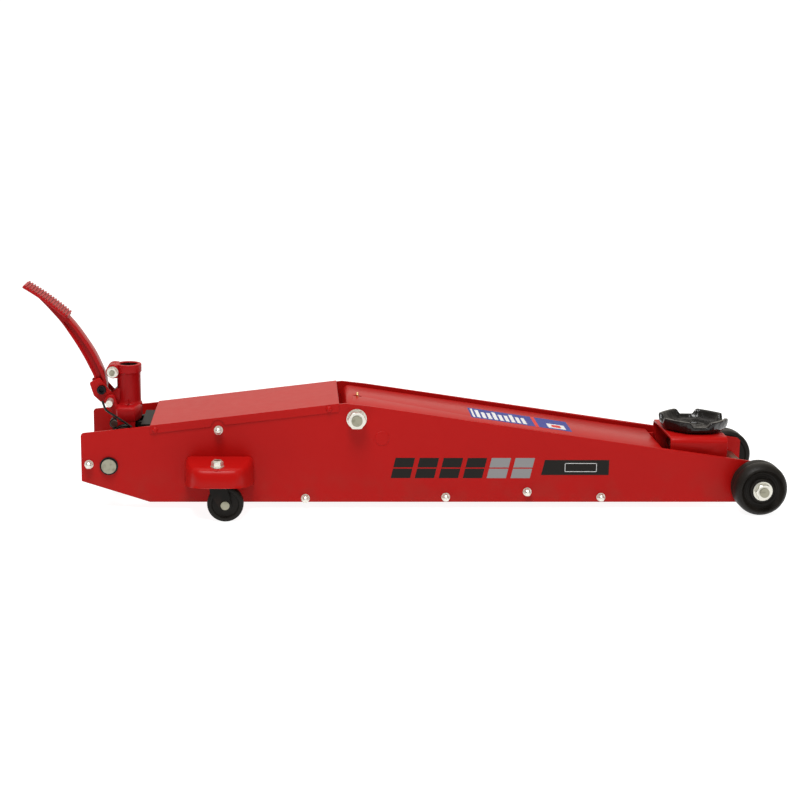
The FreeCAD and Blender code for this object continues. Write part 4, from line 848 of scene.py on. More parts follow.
# ---------------------------------------------------------------- pedal
@dataclass
class Pedal:
    """The cast foot pedal: a curved arm of I section that ends in a ribbed tread."""

    back: tuple = ((-134.0, 189.5), (-112.7, 169.6), (-92.5, 148.5), (-72.4, 125.2), (-58.3, 104.3),
                   (-44.2, 81.8), (-32.2, 60.2), (-22.2, 39.7), (-14.5, 22), (-11, 0), (-10, -14))
    front: tuple = ((-131.5, 191.5), (-107, 175), (-83, 157), (-60.5, 134.5), (-43.5, 114.2),
                    (-27.5, 91), (-13.0, 67.5), (-2, 44), (6.0, 22.5), (9, 4), (9, -13))
    flange: float = 14.0
    web: float = 8.5
    back_rim: float = 3.2
    front_rim: float = 6.5
    web_from: float = 0.30
    web_to: float = 0.90
    web_fades: tuple = (0.045, 0.05)
    web_slope: float = 1.6
    tip_share: float = 0.72
    tip_length: float = 0.28
    tread_place: tuple = (-57.4, 135.8)
    tread_angle: float = 36.4
    tread_length: float = 98.0
    tread_half: float = 28.6
    tread_thick: float = 4.6
    tread_arch: float = 460.0
    tread_edge: float = 1.2
    low_corner: float = 9.0
    high_corner: float = 3.0
    ribs: int = 17
    rib_start: float = 3.5
    rounding: float = 0.9

    @property
    def crown(self) -> float:
        """How far the tread's middle stands above its ends."""
        return self.tread_length ** 2 / (8 * self.tread_arch)

    def section(self, share: float) -> list[Vector]:
        """Draw the I section at one place along the arm.

        Args:
            share: how far along the arm, from 0 at the tread to 1 at the bolt.

        Returns:
            Its outline, in frame coordinates.
        """
        anchor = middle("pedal_bolt")
        back = Vector(curve_through(self.back, share))
        front = Vector(curve_through(self.front, share))
        across = front - back
        width = across.length
        across.normalize()
        first, last = self.web_fades
        open_up = (min(1.0, max(0.0, (share - self.web_from) / first))
                   * min(1.0, max(0.0, (self.web_to - share) / last)))
        open_up = math.sin(open_up * math.pi / 2)
        narrow = (1 - self.tip_share) * (1 - min(1.0, share / self.tip_length))
        half = self.flange * (1 - narrow)
        web = half + (self.web - half) * open_up
        low = min(self.back_rim, width * 0.2)
        high = width - min(self.front_rim, width * 0.3)
        line = [(0, -half), (low, -half), (low + self.web_slope, -web),
                (high - self.web_slope, -web), (high, -half), (width, -half)]
        loop = line + [(u, -y) for u, y in line[::-1]]
        return [Vector((anchor.x + (back.x + across.x * u) * MM, y * MM,
                        anchor.z + (back.y + across.y * u) * MM)) for u, y in loop]

    def tread_frame(self) -> Matrix:
        """Stand the tread's own axes, with X up the slope and Z out of its face.

        Returns:
            The frame's place.
        """
        anchor = middle("pedal_bolt")
        x, z = self.tread_place
        turn = (Matrix.Rotation(math.radians(self.tread_angle), 4, "Y")
                @ Matrix.Rotation(math.pi, 4, "Z"))
        return Matrix.Translation((anchor.x + x * MM, 0, anchor.z + z * MM)) @ turn

    def slab(self) -> Mesh:
        """Make the arched plate under the ribs.

        Returns:
            The plate on the tread's own axes.
        """
        rings = []
        for k in range(41):
            along = self.tread_length * (k / 40)
            half = (self.tread_half - corner(self.low_corner, along)
                    - corner(self.high_corner, self.tread_length - along))
            out = along - self.tread_length / 2
            top = self.crown - out * out / (2 * self.tread_arch)
            low = top - self.tread_thick
            edge = self.tread_edge
            line = [(half - edge, low), (half, low + edge), (half, top - edge), (half - edge, top)]
            loop = [(-half + edge, low)] + line + [(-y, z) for y, z in line[:0:-1]]
            rings.append([Vector((along * MM, y * MM, z * MM)) for y, z in loop])
        return skin(rings)

    def rib(self) -> Mesh:
        """Make one tread rib, lying across the slope.

        Returns:
            The rib on the tread's own axes.
        """
        profile = ((-1.95, -0.5), (1.95, -0.5), (1.8, 1.4), (1.25, 2.2), (-1.25, 2.2), (-1.8, 1.4))
        half = self.tread_half - 0.7
        ends = ((-half, 0.7), (-half + 0.6, 1.0), (half - 0.6, 1.0), (half, 0.7))
        return skin([[Vector((x * MM, y * MM, (z if z < 0 else z * keep) * MM)) for x, z in profile]
                     for y, keep in ends])

    def build(self) -> None:
        """Make the pedal in place of its plain nodes."""
        mesh = skin([self.section(k / 70) for k in range(71)])
        bevelled(mesh, math.radians(26), self.rounding * MM)
        tread = self.slab()
        pitch = (self.tread_length - 2 * self.rib_start) / (self.ribs - 1)
        row = RibRow().make(Finish.RED_CAST, {"Count": self.ribs, "Pitch": pitch * MM,
                                              "Start": self.rib_start * MM,
                                              "Arch Radius": self.tread_arch * MM}, self.rib())
        bmesh.ops.translate(row, verts=row.verts, vec=(0, 0, self.crown * MM))
        add_mesh(tread, row)
        bmesh.ops.transform(tread, matrix=self.tread_frame(), verts=tread.verts)
        add_mesh(mesh, tread)
        piece = made("pedal_casting", mesh, "handle_socket", Finish.RED_CAST)
        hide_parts("pedal_arm", "pedal_pad")
        LOG.info("pedal casting")


# ---------------------------------------------------------------- torsion spring
@dataclass
class PedalSpring:
    """The torsion spring that lifts the pedal, with its hooked leg under the pin."""

    wire: float = 2.1
    radius: float = 19.0
    turns: float = 2.6
    centre: tuple = (-521.0, 127.0)
    near: float = -57.2
    pitch: float = 4.5
    hook: tuple = ((-508.0, -60.0, 146.0), (-530.0, -57.6, 160.5), (-549.2, -55.6, 172.6),
                   (-553.4, -55.2, 176.0), (-555.6, -55.0, 180.0), (-560.0, -55.0, 193.0))
    steps_a_turn: int = 36
    last_angle: float = 50.0

    def build(self) -> None:
        """Make the spring in place of its plain node."""
        points = []
        steps = int(self.turns * self.steps_a_turn)
        for k in range(steps + 1):
            left = self.turns * (1 - k / steps)
            angle = math.radians(self.last_angle) + math.tau * left
            points.append((self.centre[0] + self.radius * math.cos(angle),
                           self.near + self.pitch * left,
                           self.centre[1] + self.radius * math.sin(angle)))
        line = [Vector(point) * MM for point in points + list(self.hook)]
        mesh = Wire().make(Finish.SPRING, {"Wire Radius": self.wire * MM}, path_mesh(line))
        piece = made("pedal_spring", mesh, "handle_socket", Finish.SPRING)
        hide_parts("torsion_spring")
        LOG.info("pedal spring")


# ---------------------------------------------------------------- saddle
@dataclass
class Saddle:
    """The cast lifting saddle: an eight-sided bowl with four raised lugs."""

    rim: float = 66.4
    low_rim: float = 14.2
    lug_rise: float = 9.6
    dish: float = 6.4
    flatness: float = 0.6
    steps: int = 192
    lug_angle: float = 34.0
    lug_fade: float = 9.0
    scallop: float = 0.03
    clearance: float = 0.3

    def facet(self, angle: float) -> float:
        """How near the centre the eight-sided wall is at an angle, from 1 down."""
        eighth = math.pi / 4
        off = (angle + eighth / 2) % eighth - eighth / 2
        return 1 - self.flatness * (1 - math.cos(math.pi / 8) / math.cos(off))

    def lug(self, angle: float) -> float:
        """How much of a lug there is at an angle.

        Args:
            angle: the angle round the saddle.

        Returns:
            1 on the four lugs, 0 in the scallops between them, and a smooth share between.
        """
        quarter = math.pi / 2
        off = abs((angle % quarter) - quarter / 2)
        share = (math.radians(self.lug_angle) - off) / math.radians(self.lug_fade)
        share = max(0.0, min(1.0, share))
        return share * share * (3 - 2 * share)

    def ring(self, radius: float, height: float, squareness: float, lugs: float,
             rough: float) -> list[Vector]:
        """Draw one ring of the bowl.

        Args:
            radius: its radius.
            height: its height above the saddle's underside.
            squareness: how strongly it has eight sides, from 0 to 1.
            lugs: how strongly it follows the lugs, from 0 to 1.
            rough: how far its surface is uneven.

        Returns:
            Its points, in frame coordinates.
        """
        centre = middle("saddle")
        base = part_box("saddle_bracket")[1][2] + self.clearance * MM
        result = []
        for k in range(self.steps):
            angle = math.tau * k / self.steps
            lug = self.lug(angle)
            reach = (radius * (1 + (self.facet(angle) - 1) * squareness)
                     * (1 - self.scallop * (1 - lug) * lugs))
            ripple = noise_at(angle, radius, height) * rough
            result.append(Vector((centre.x + (reach + ripple) * MM * math.cos(angle),
                                  centre.y + (reach + ripple) * MM * math.sin(angle),
                                  base + (height + lug * lugs * self.lug_rise + ripple) * MM)))
        return result

    def build(self) -> None:
        """Make the bowl in place of its plain node."""
        rim, low, dish = self.rim, self.low_rim, self.dish
        rows = [(44, 0.0, 0, 0, 0), (50, 0.0, 0.3, 0, 0), (54.5, 0.5, 0.7, 0, 0.05),
                (58.6, 2.0, 1, 0, 0.15), (62.4, 4.6, 1, 0.1, 0.2), (65.0, 7.8, 1, 0.3, 0.2),
                (66.2, 10.6, 1, 0.6, 0.15), (rim, 12.6, 1, 0.85, 0.1), (rim - 0.7, 13.9, 1, 1, 0.1),
                (rim - 2.2, low, 1, 1, 0.15), (rim - 6.0, low, 1, 1, 0.3),
                (rim - 7.8, 13.4, 1, 0.97, 0.3), (rim - 9.6, 11.8, 1, 0.75, 0.4),
                (54.2, 9.4, 1, 0.4, 0.45), (50.0, 7.6, 1, 0.12, 0.5), (46, 6.6, 0.8, 0, 0.4),
                (40, dish, 0.4, 0, 0.45), (32, dish, 0.2, 0, 0.4), (25, dish + 0.2, 0, 0, 0.3),
                (22.5, dish + 1.0, 0, 0, 0.1), (20.5, dish + 0.9, 0, 0, 0.05),
                (19.2, dish - 1.4, 0, 0, 0)]
        mesh = skin([self.ring(*row) for row in rows])
        piece = made("saddle_casting", mesh, "saddle", Finish.SADDLE)
        piece.data.set_sharp_from_angle(angle=math.radians(60))
        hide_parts("saddle")
        LOG.info("saddle casting")


def noise_at(angle: float, radius: float, height: float) -> float:
    """Work out a cast surface's unevenness, the same on every run.

    Args:
        angle: the angle of the place round the axis.
        radius: its distance from the axis.
        height: its height.

    Returns:
        The unevenness, about -1 to 1.
    """
    x, y = radius * math.cos(angle), radius * math.sin(angle)
    spot = Vector((x * 0.11, y * 0.11, height * 0.12))
    fine = Vector((x * 0.31, y * 0.31, height * 0.3))
    return noise.noise(spot) + 0.5 * noise.noise(fine)


# ---------------------------------------------------------------- wheels
@dataclass
class Wheels:
    """Front rollers and caster wheels, turned from the same moulding."""

    front_steps: int = 144
    caster_steps: int = 96
    axle_clearance: float = 0.2
    caster_bore: float = 5.25
    dots: int = 40
    dot: float = 0.55

    def front(self, side: str, turn: Matrix) -> None:
        """Make one front wheel with a dished face, a raised hub and a moulding seam.

        Args:
            side: left or right.
            turn: a rotation that takes +Z out of the wheel's face.
        """
        node = f"front_wheel_{side}"
        low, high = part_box(node)
        radius = (high[2] - low[2]) / 2 / MM
        width = (high[1] - low[1]) / MM
        centre = Vector(((low[0] + high[0]) / 2, low[1] if turn is SIDEWAYS else high[1],
                         (low[2] + high[2]) / 2))
        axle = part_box("front_axle")
        bore = (axle[1][2] - axle[0][2]) / 2 / MM + self.axle_clearance
        face = radius - 8.8
        seam = width * 0.5
        profile = [(bore, 1.0), (bore + 6, 1.0), (bore + 7, 2.5), (face - 12, 3.5), (face - 3, 3.0),
                   (face - 1.5, 0.6), (face, 0.0), (radius - 5.4, 0.6), (radius - 2.2, 2.6),
                   (radius - 0.6, 5.6), (radius, 9.4), (radius, seam - 0.6), (radius - 0.25, seam),
                   (radius, seam + 0.6)]
        profile += [(radius, width - 16.5), (radius - 0.6, width - 11.6), (radius - 2.2, width - 7.2),
                    (radius - 5.0, width - 3.0), (radius - 7.2, width - 1.0), (face + 0.6, width - 0.2),
                    (face - 0.3, width), (face - 1.1, width - 0.2), (face - 1.7, width - 1.0),
                    (face - 4.0, width - 5.4), (face - 7.6, width - 9.4), (face - 9.0, width - 10.0),
                    (face - 10.4, width - 10.0), (face - 11.0, width - 9.4), (face - 12.4, width - 9.2),
                    (bore + 13.6, width - 8.9), (bore + 12.6, width - 9.4), (bore + 11.6, width - 9.0),
                    (bore + 10.4, width - 8.2), (bore + 9.6, width - 4.2), (bore + 8.8, width - 3.2),
                    (bore + 8.0, width - 3.0), (bore, width - 3.0)]
        mesh = turned(profile, centre, turn, self.front_steps)
        pip = bmesh.new()
        bmesh.ops.create_icosphere(pip, subdivisions=2, radius=self.dot * MM)
        dots = Ring().make(Finish.NYLON, {"Count": self.dots, "Radius": (radius - 5.0) * MM}, pip)
        shift = Matrix.Translation(centre) @ turn.to_4x4() @ Matrix.Translation(
            (0, 0, (width - 3.2) * MM))
        bmesh.ops.transform(dots, matrix=shift, verts=dots.verts)
        add_mesh(mesh, dots)
        piece = made(f"front_roller_{side}", mesh, node, Finish.NYLON)
        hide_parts(node)

    def caster(self, side: str) -> None:
        """Make one caster wheel with rounded treads and a recessed web.

        Args:
            side: left or right.
        """
        node = f"caster_wheel_{side}"
        low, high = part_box(node)
        radius = (high[2] - low[2]) / 2 / MM
        half = (high[1] - low[1]) / 2 / MM
        tread = half - 1.6
        bore = self.caster_bore
        line = [(bore, half), (bore + 5, half), (bore + 6, half - 0.6), (bore + 6.6, tread - 2.6),
                (radius - 11, tread - 2.8), (radius - 9.4, tread - 2.2), (radius - 8.2, tread - 0.5),
                (radius - 7, tread), (radius - 3.4, tread - 0.3), (radius - 1.2, tread - 1.4),
                (radius - 0.2, tread - 3.6), (radius, tread - 6)]
        profile = line + [(r, -a) for r, a in line[::-1]]
        mesh = turned(profile, middle(node), SIDEWAYS, self.caster_steps)
        piece = made(f"caster_roller_{side}", mesh, node, Finish.NYLON)
        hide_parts(node)

    def build(self) -> None:
        """Make all four wheels."""
        for side, sign in SIDES:
            self.front(side, SIDEWAYS if sign > 0 else TOWARDS)
            self.caster(side)
        LOG.info("wheels")


# ---------------------------------------------------------------- pressed plates
@dataclass
class Plates:
    """The cut and pressed plates, with their edges rounded as paint leaves them."""

    edges: tuple = (
        ("side_plate_left", "chassis", 0.7), ("side_plate_right", "chassis", 0.7),
        ("rear_cover", "chassis", 0.5), ("cross_plates", "chassis", 0.5),
        ("rod_anchors", "chassis", 0.8), ("arm_top_plate", "lift_arm", 0.8),
        ("arm_side_plates", "lift_arm", 0.6), ("arm_cranks", "lift_arm", 0.8),
        ("saddle_bracket", "saddle_bracket", 0.7), ("pedal_cheeks", "handle_socket", 0.8))
    notch_place: tuple = (-347, 157)
    notch_radius: float = 12.0
    notch_reach: float = 3.0

    def notched(self, mesh: Mesh) -> Mesh:
        """Cut a round notch through both outer flanges of the cover.

        Args:
            mesh: the cover, which is used up.

        Returns:
            The cut mesh.
        """
        x, z = (place * MM for place in self.notch_place)
        reach = max(abs(v.co.y) for v in mesh.verts)
        depths = (reach - self.notch_reach * MM, reach + self.notch_reach * MM)
        bars = bmesh.new()
        for side in (-1, 1):
            add_mesh(bars, skin([[Vector((x + u, side * y, z + w))
                                  for u, w in circle(self.notch_radius * MM, 40)] for y in depths]))
        tool = placed("notch_tool", bars)
        cover = placed("uncut", mesh)
        step = cover.modifiers.new("notch", "BOOLEAN")
        step.operation = "DIFFERENCE"
        step.solver = "EXACT"
        step.object = tool
        cut = solved(cover)
        removed(tool)
        return cut

    def build(self) -> None:
        """Round every plate in the list, in place of its node."""
        for node, body, width in self.edges:
            mesh = copy_of(node)
            if node == "rear_cover":
                mesh = self.notched(mesh)
            soften(mesh, width * MM)
            piece = made(node + "_rounded", mesh, body, Finish.RED, smooth=False)
            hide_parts(node)
        LOG.info("plates with rounded edges")


# ---------------------------------------------------------------- handle socket
@dataclass
class HandleSocket:
    """The cast handle socket: tube with a collar, clamp ear, chamfered block and lugs."""

    axis: float = -516.3
    tube: float = 21.8
    collar: float = 23.7
    bore: float = 16.8
    bore_floor: float = 183.0
    spigot_hole: float = 7.05
    top: float = 252.6
    collar_low: float = 237.0
    ear: tuple = (-543.6, 240.4, 13.0)
    ear_half: float = 19.6
    block_top: float = 178.5
    trim: float = 175.5
    stop_place: tuple = (-540.4, 147.6)
    stop_span: tuple = (22.0, 44.4, 45.2)
    rib_outline: tuple = ((-517.2, 177), (-514.8, 177), (-514.8, 186), (-516, 188.4), (-517.2, 186))

    def round_axis(self, profile: Sequence[Pair]) -> Mesh:
        """Spin a profile round the handle's axis."""
        return turned(profile, Vector((self.axis * MM, 0, 0)), UPRIGHT, 96)

    def tube_shell(self) -> Mesh:
        """Make the tube, its collar and the bore that takes the handle.

        Returns:
            The new mesh, shaded smoothly.
        """
        profile = [(self.spigot_hole, self.bore_floor), (self.bore, self.bore_floor),
                   (self.bore, self.top - 1.4), (self.bore + 1.4, self.top)]
        profile += arc((self.collar - 1.6, self.top - 1.6), 1.6, 90, 0)
        profile += arc((self.collar - 1.0, self.collar_low + 1.0), 1.0, 0, -80)
        profile += [(self.tube + 0.5, self.collar_low - 0.6), (self.tube, self.collar_low - 1.6),
                    (self.tube + 0.1, self.block_top + 6), (self.tube + 0.5, self.block_top + 2.2),
                    (self.tube + 2.2, self.block_top + 0.4), (self.tube + 2.2, self.block_top - 4),
                    (self.spigot_hole, self.block_top - 4)]
        mesh = self.round_axis(profile)
        for face in mesh.faces:
            face.smooth = True
        return mesh

    def block(self, mesh: Mesh) -> None:
        """Add the block under the tube, with chamfered front corners, over the yoke.

        Args:
            mesh: where it goes.
        """
        base = copy_of("handle_socket")
        cut = bmesh.ops.bisect_plane(base, geom=base.verts[:] + base.edges[:] + base.faces[:],
                                     plane_co=(0, 0, self.trim * MM), plane_no=(0, 0, 1),
                                     clear_outer=True)
        rim = [e for e in cut["geom_cut"] if isinstance(e, bmesh.types.BMEdge)]
        bmesh.ops.holes_fill(base, edges=rim, sides=0)
        bmesh.ops.recalc_face_normals(base, faces=base.faces)
        soften(base, 0.8 * MM)
        add_mesh(mesh, base)
        plan = [(-537.8, -38), (-534, -45.6), (-502, -45.6), (-493.4, -15), (-493.4, 15),
                (-502, 45.6), (-534, 45.6), (-537.8, 38)]
        inner = [(-531, -34), (-530, -36), (-506, -36), (-500, -13), (-500, 13), (-506, 36),
                 (-530, 36), (-531, 34)]
        crown = [(-516 + (x + 516) * 0.93, y * 0.87) for x, y in plan]
        shell = skin([[Vector((x, y, height)) * MM for x, y in outline] for outline, height in (
            (inner, 171), (inner, 151), (plan, 151), (plan, self.block_top - 4.5),
            (crown, self.block_top))])
        soften(shell, 1.1 * MM)
        add_mesh(mesh, shell)

    def ears(self, mesh: Mesh) -> None:
        """Add the split clamp ear by the collar, and the lugs round the pedal pin.

        Args:
            mesh: where they go.
        """
        x, z, radius = self.ear
        outline = arc((x, z), radius, 78, 285, 18)
        outline += [(self.axis - self.tube + 3, z - radius + 0.5), (self.axis - self.tube + 6, z),
                    (self.axis - self.tube + 3, z + radius - 0.6)]
        prism(mesh, outline, -self.ear_half, -1.6, 1.2)
        prism(mesh, outline, 1.6, self.ear_half, 1.2)
        pin = middle("pedal_pin") / MM
        hub = (pin.x, pin.z)
        inner = arc(hub, 9.4, 100, 262, 12) + [(-537, 176), (-528, 176), (-528, 206), (-538, 208)]
        prism(mesh, inner, -15.4, 15.4, 1.0)
        lug = arc(hub, 10.6, 40, 245, 14) + [(-546, 170), (-545, 158), (-540, 151), (-526, 151),
                                             (-526, 178), (-535.5, 180)]
        for side in (-1, 1):
            prism(mesh, lug, *sorted((side * 20.8, side * 33.0)), 0.9)

    def stop(self, side: str, turn: Matrix) -> None:
        """Make a turned stop through the lug, black with a bright end.

        Args:
            side: left or right.
            turn: a rotation that takes +Z outwards.
        """
        centre = Vector((self.stop_place[0], 0, self.stop_place[1])) * MM
        inner, end, face = self.stop_span
        barrel = [(0, inner), (8.8, inner), (8.8, end - 0.8), (8.1, end), (0, end)]
        bright = [(0, face - 1.0), (7.0, face - 1.0), (7.0, face - 0.4), (6.4, face), (0, face)]
        made(f"socket_stop_{side}", turned(barrel, centre, turn, 48), "handle_socket",
             Finish.BLACK)
        made(f"socket_stop_face_{side}", turned(bright, centre, turn, 48), "handle_socket",
             Finish.GREY_STEEL)

    def bore_shade(self) -> None:
        """Make a black skin inside the bore that takes the handle, as painted shade in the bore."""
        wall, low, high = self.bore - 0.12, self.bore_floor + 0.4, self.top - 2.0
        hole = self.spigot_hole + 0.35
        profile = [(hole, low), (wall, low), (wall, high), (self.bore + 0.5, high),
                   (self.bore + 0.5, low - 0.9), (hole, low - 0.9)]
        # painted shade: a black skin over the bore's wall and floor, where shade falls
        made("socket_bore_shade", self.round_axis(profile), "handle_socket", Finish.BLACK)

    def build(self) -> None:
        """Make the socket in place of its plain node."""
        mesh = bmesh.new()
        self.block(mesh)
        self.ears(mesh)
        prism(mesh, self.rib_outline, -34, -20, 0.5)
        add_mesh(mesh, self.tube_shell())
        piece = made("socket_casting", mesh, "handle_socket", Finish.RED_CAST,
                     smooth=False)
        piece.data.set_sharp_from_angle(angle=math.radians(34))
        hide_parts("handle_socket")
        self.stop("right", TOWARDS)
        self.stop("left", SIDEWAYS)
        self.bore_shade()
        LOG.info("handle socket")


# ---------------------------------------------------------------- caster hoods
@dataclass
class CasterHood:
    """A pressed hood over each caster, with rolled corners and a thin lip."""

    centre: float = -344.6
    plate: float = 100.0
    half: float = 62.4
    reach: float = 99.0
    taper: float = 0.25
    taper_power: float = 1.7
    square: float = 5.5
    roll: float = 17.0
    top: float = 100.0
    root: float = 49.6
    tip: float = 67.0
    sheet: float = 3.0
    points: int = 61
    stud: tuple = (-345, 173)
    race_top: float = 97.5

    def ring(self, inset: float, drop: float | None, side: int, lift: float) -> list[Vector]:
        """Draw one closed outline of the hood.

        Args:
            inset: how far it lies inside the outer outline.
            drop: how far below the crest it lies, or None for the lower lip.
            side: -1 or 1 for the side of the jack.
            lift: how far it starts out from the plate.

        Returns:
            Its points.
        """
        result = []
        for k in range(self.points):
            angle = math.pi * (1 - k / (self.points - 1))
            c, s = math.cos(angle), math.sin(angle)
            out = lift + (self.reach - inset - lift) * abs(s) ** (2 / self.square)
            wide = (self.half - inset) * math.copysign(abs(c) ** (2 / self.square), c)
            wide *= 1 - self.taper * (out / self.reach) ** self.taper_power
            height = self.root + (self.tip - self.root) * out / self.reach
            if drop is not None:
                height = max(height + 1.0, self.top - corner(self.roll, self.reach - out) - drop)
            result.append(Vector((self.centre + wide, side * (self.plate + out), height)) * MM)
        return result

    def race(self, name: str, side: int) -> Mesh:
        """Make the swivel race under the hood.

        Args:
            name: left or right.
            side: 1 or -1 for the same.

        Returns:
            The new mesh.
        """
        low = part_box(f"caster_fork_{name}")[1][2] / MM + 0.4
        profile = [(6.0, low), (18, low), (19, low + 1.0), (19, self.race_top), (6.0, self.race_top)]
        return turned(profile, Vector((self.stud[0], side * self.stud[1], 0)) * MM, UPRIGHT, 64)

    def hood(self, side: int) -> Mesh:
        """Make the pressed sheet, from its inner skin over the lip to its outer one.

        Args:
            side: -1 or 1 for the side of the jack.

        Returns:
            The new mesh.
        """
        sheet = self.sheet
        under = [(42, 0), (28, 0), (12, 0), (7, 0.9), (4, 3.4), (2, 7), (1, 11)]
        rows = [(sheet + i, d + sheet, 0.4) for i, d in under]
        rows += [(sheet, 22, 0.4), (sheet - 0.8, None, 0.4), (-0.8, None, 0.05)]
        rows += [(i, d, 0.05) for i, d in ((0.0, 30), (0.0, 22), (0.0, 15), (0.4, 10.5), (1.6, 6.4),
                                           (3.8, 2.9), (6.8, 0.7), (10.4, 0.0), (20, 0.0),
                                           (32, 0.0), (46, 0.0))]
        return skin([self.ring(inset, drop, side, lift) for inset, drop, lift in rows])

    def build(self) -> None:
        """Make both hoods with the swivel race under each."""
        for name, side in SIDES:
            mesh = self.hood(side)
            add_mesh(mesh, self.race(name, side))
            piece = made(f"caster_hood_{name}", mesh, "chassis", Finish.RED)
            piece.data.set_sharp_from_angle(angle=math.radians(50))
            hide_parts(f"caster_bracket_{name}")
            self.rivets(name)
        LOG.info("caster hoods")

    def rivets(self, name: str) -> None:
        """Make the bright rivet heads on both ends of a caster's axle.

        Args:
            name: left or right.
        """
        low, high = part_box(f"caster_fork_{name}")
        wheel = middle(f"caster_wheel_{name}")
        profile = [(0, -1.19), (7.9, -1.19), (7.9, -0.19), (7.0, 0.01), (0, 0.01)]
        mesh = bmesh.new()
        for turn, face in ((SIDEWAYS, high[1]), (TOWARDS, low[1])):
            add_mesh(mesh, turned(profile, Vector((wheel.x, face, wheel.z)), turn, 48))
        made(f"caster_rivets_{name}", mesh, f"caster_fork_{name}", Finish.STEEL)


# ---------------------------------------------------------------- small parts
@dataclass
class PlungerSpring:
    """The return spring round the pump plunger."""

    wire: float = 1.1
    turns: float = 6.5
    radius: float = 9.6
    cap: float = 5.5
    seat: float = -492.0

    def build(self) -> None:
        """Make the spring between the plunger's cap and the pump block."""
        low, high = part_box("plunger")
        start, end = low[0] + self.cap * MM, self.seat * MM
        mesh = Coil().make(Finish.SPRING, {"Turns": self.turns, "Radius": self.radius * MM,
                                           "Length": end - start, "Wire Radius": self.wire * MM})
        shift = Matrix.Translation((start, 0, (low[2] + high[2]) / 2)) @ Matrix.Rotation(
            math.radians(90), 4, "Y")
        bmesh.ops.transform(mesh, matrix=shift, verts=mesh.verts)
        piece = made("plunger_spring", mesh, "", Finish.SPRING)
        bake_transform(piece)
        LOG.info("plunger spring")


@dataclass
class Welds:
    """Weld beads between the pivot tube and the arm's side plates."""

    bead: float = 2.0
    overlap: float = 0.85
    inset: float = 6.0
    clearance: float = 0.4
    steps: int = 48

    def build(self) -> None:
        """Lay every bead."""
        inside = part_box("arm_side_plates")[1][1] - self.inset * MM
        pivot = middle("arm_pivot_tube")
        low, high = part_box("arm_pivot_tube")
        radius = (high[2] - low[2]) / 2 + self.clearance * MM
        for name, side in reversed(SIDES):
            points = [Vector((pivot.x + u, side * inside, pivot.z + w))
                      for u, w in circle(radius, self.steps)]
            mesh = WeldBead().make(Finish.RED, {"Bead Radius": self.bead * MM,
                                                "Step": self.bead * self.overlap * MM},
                                   path_mesh(points, True))
            made(f"weld_pivot_{name}", mesh, "lift_arm", Finish.RED)
        LOG.info("weld beads")


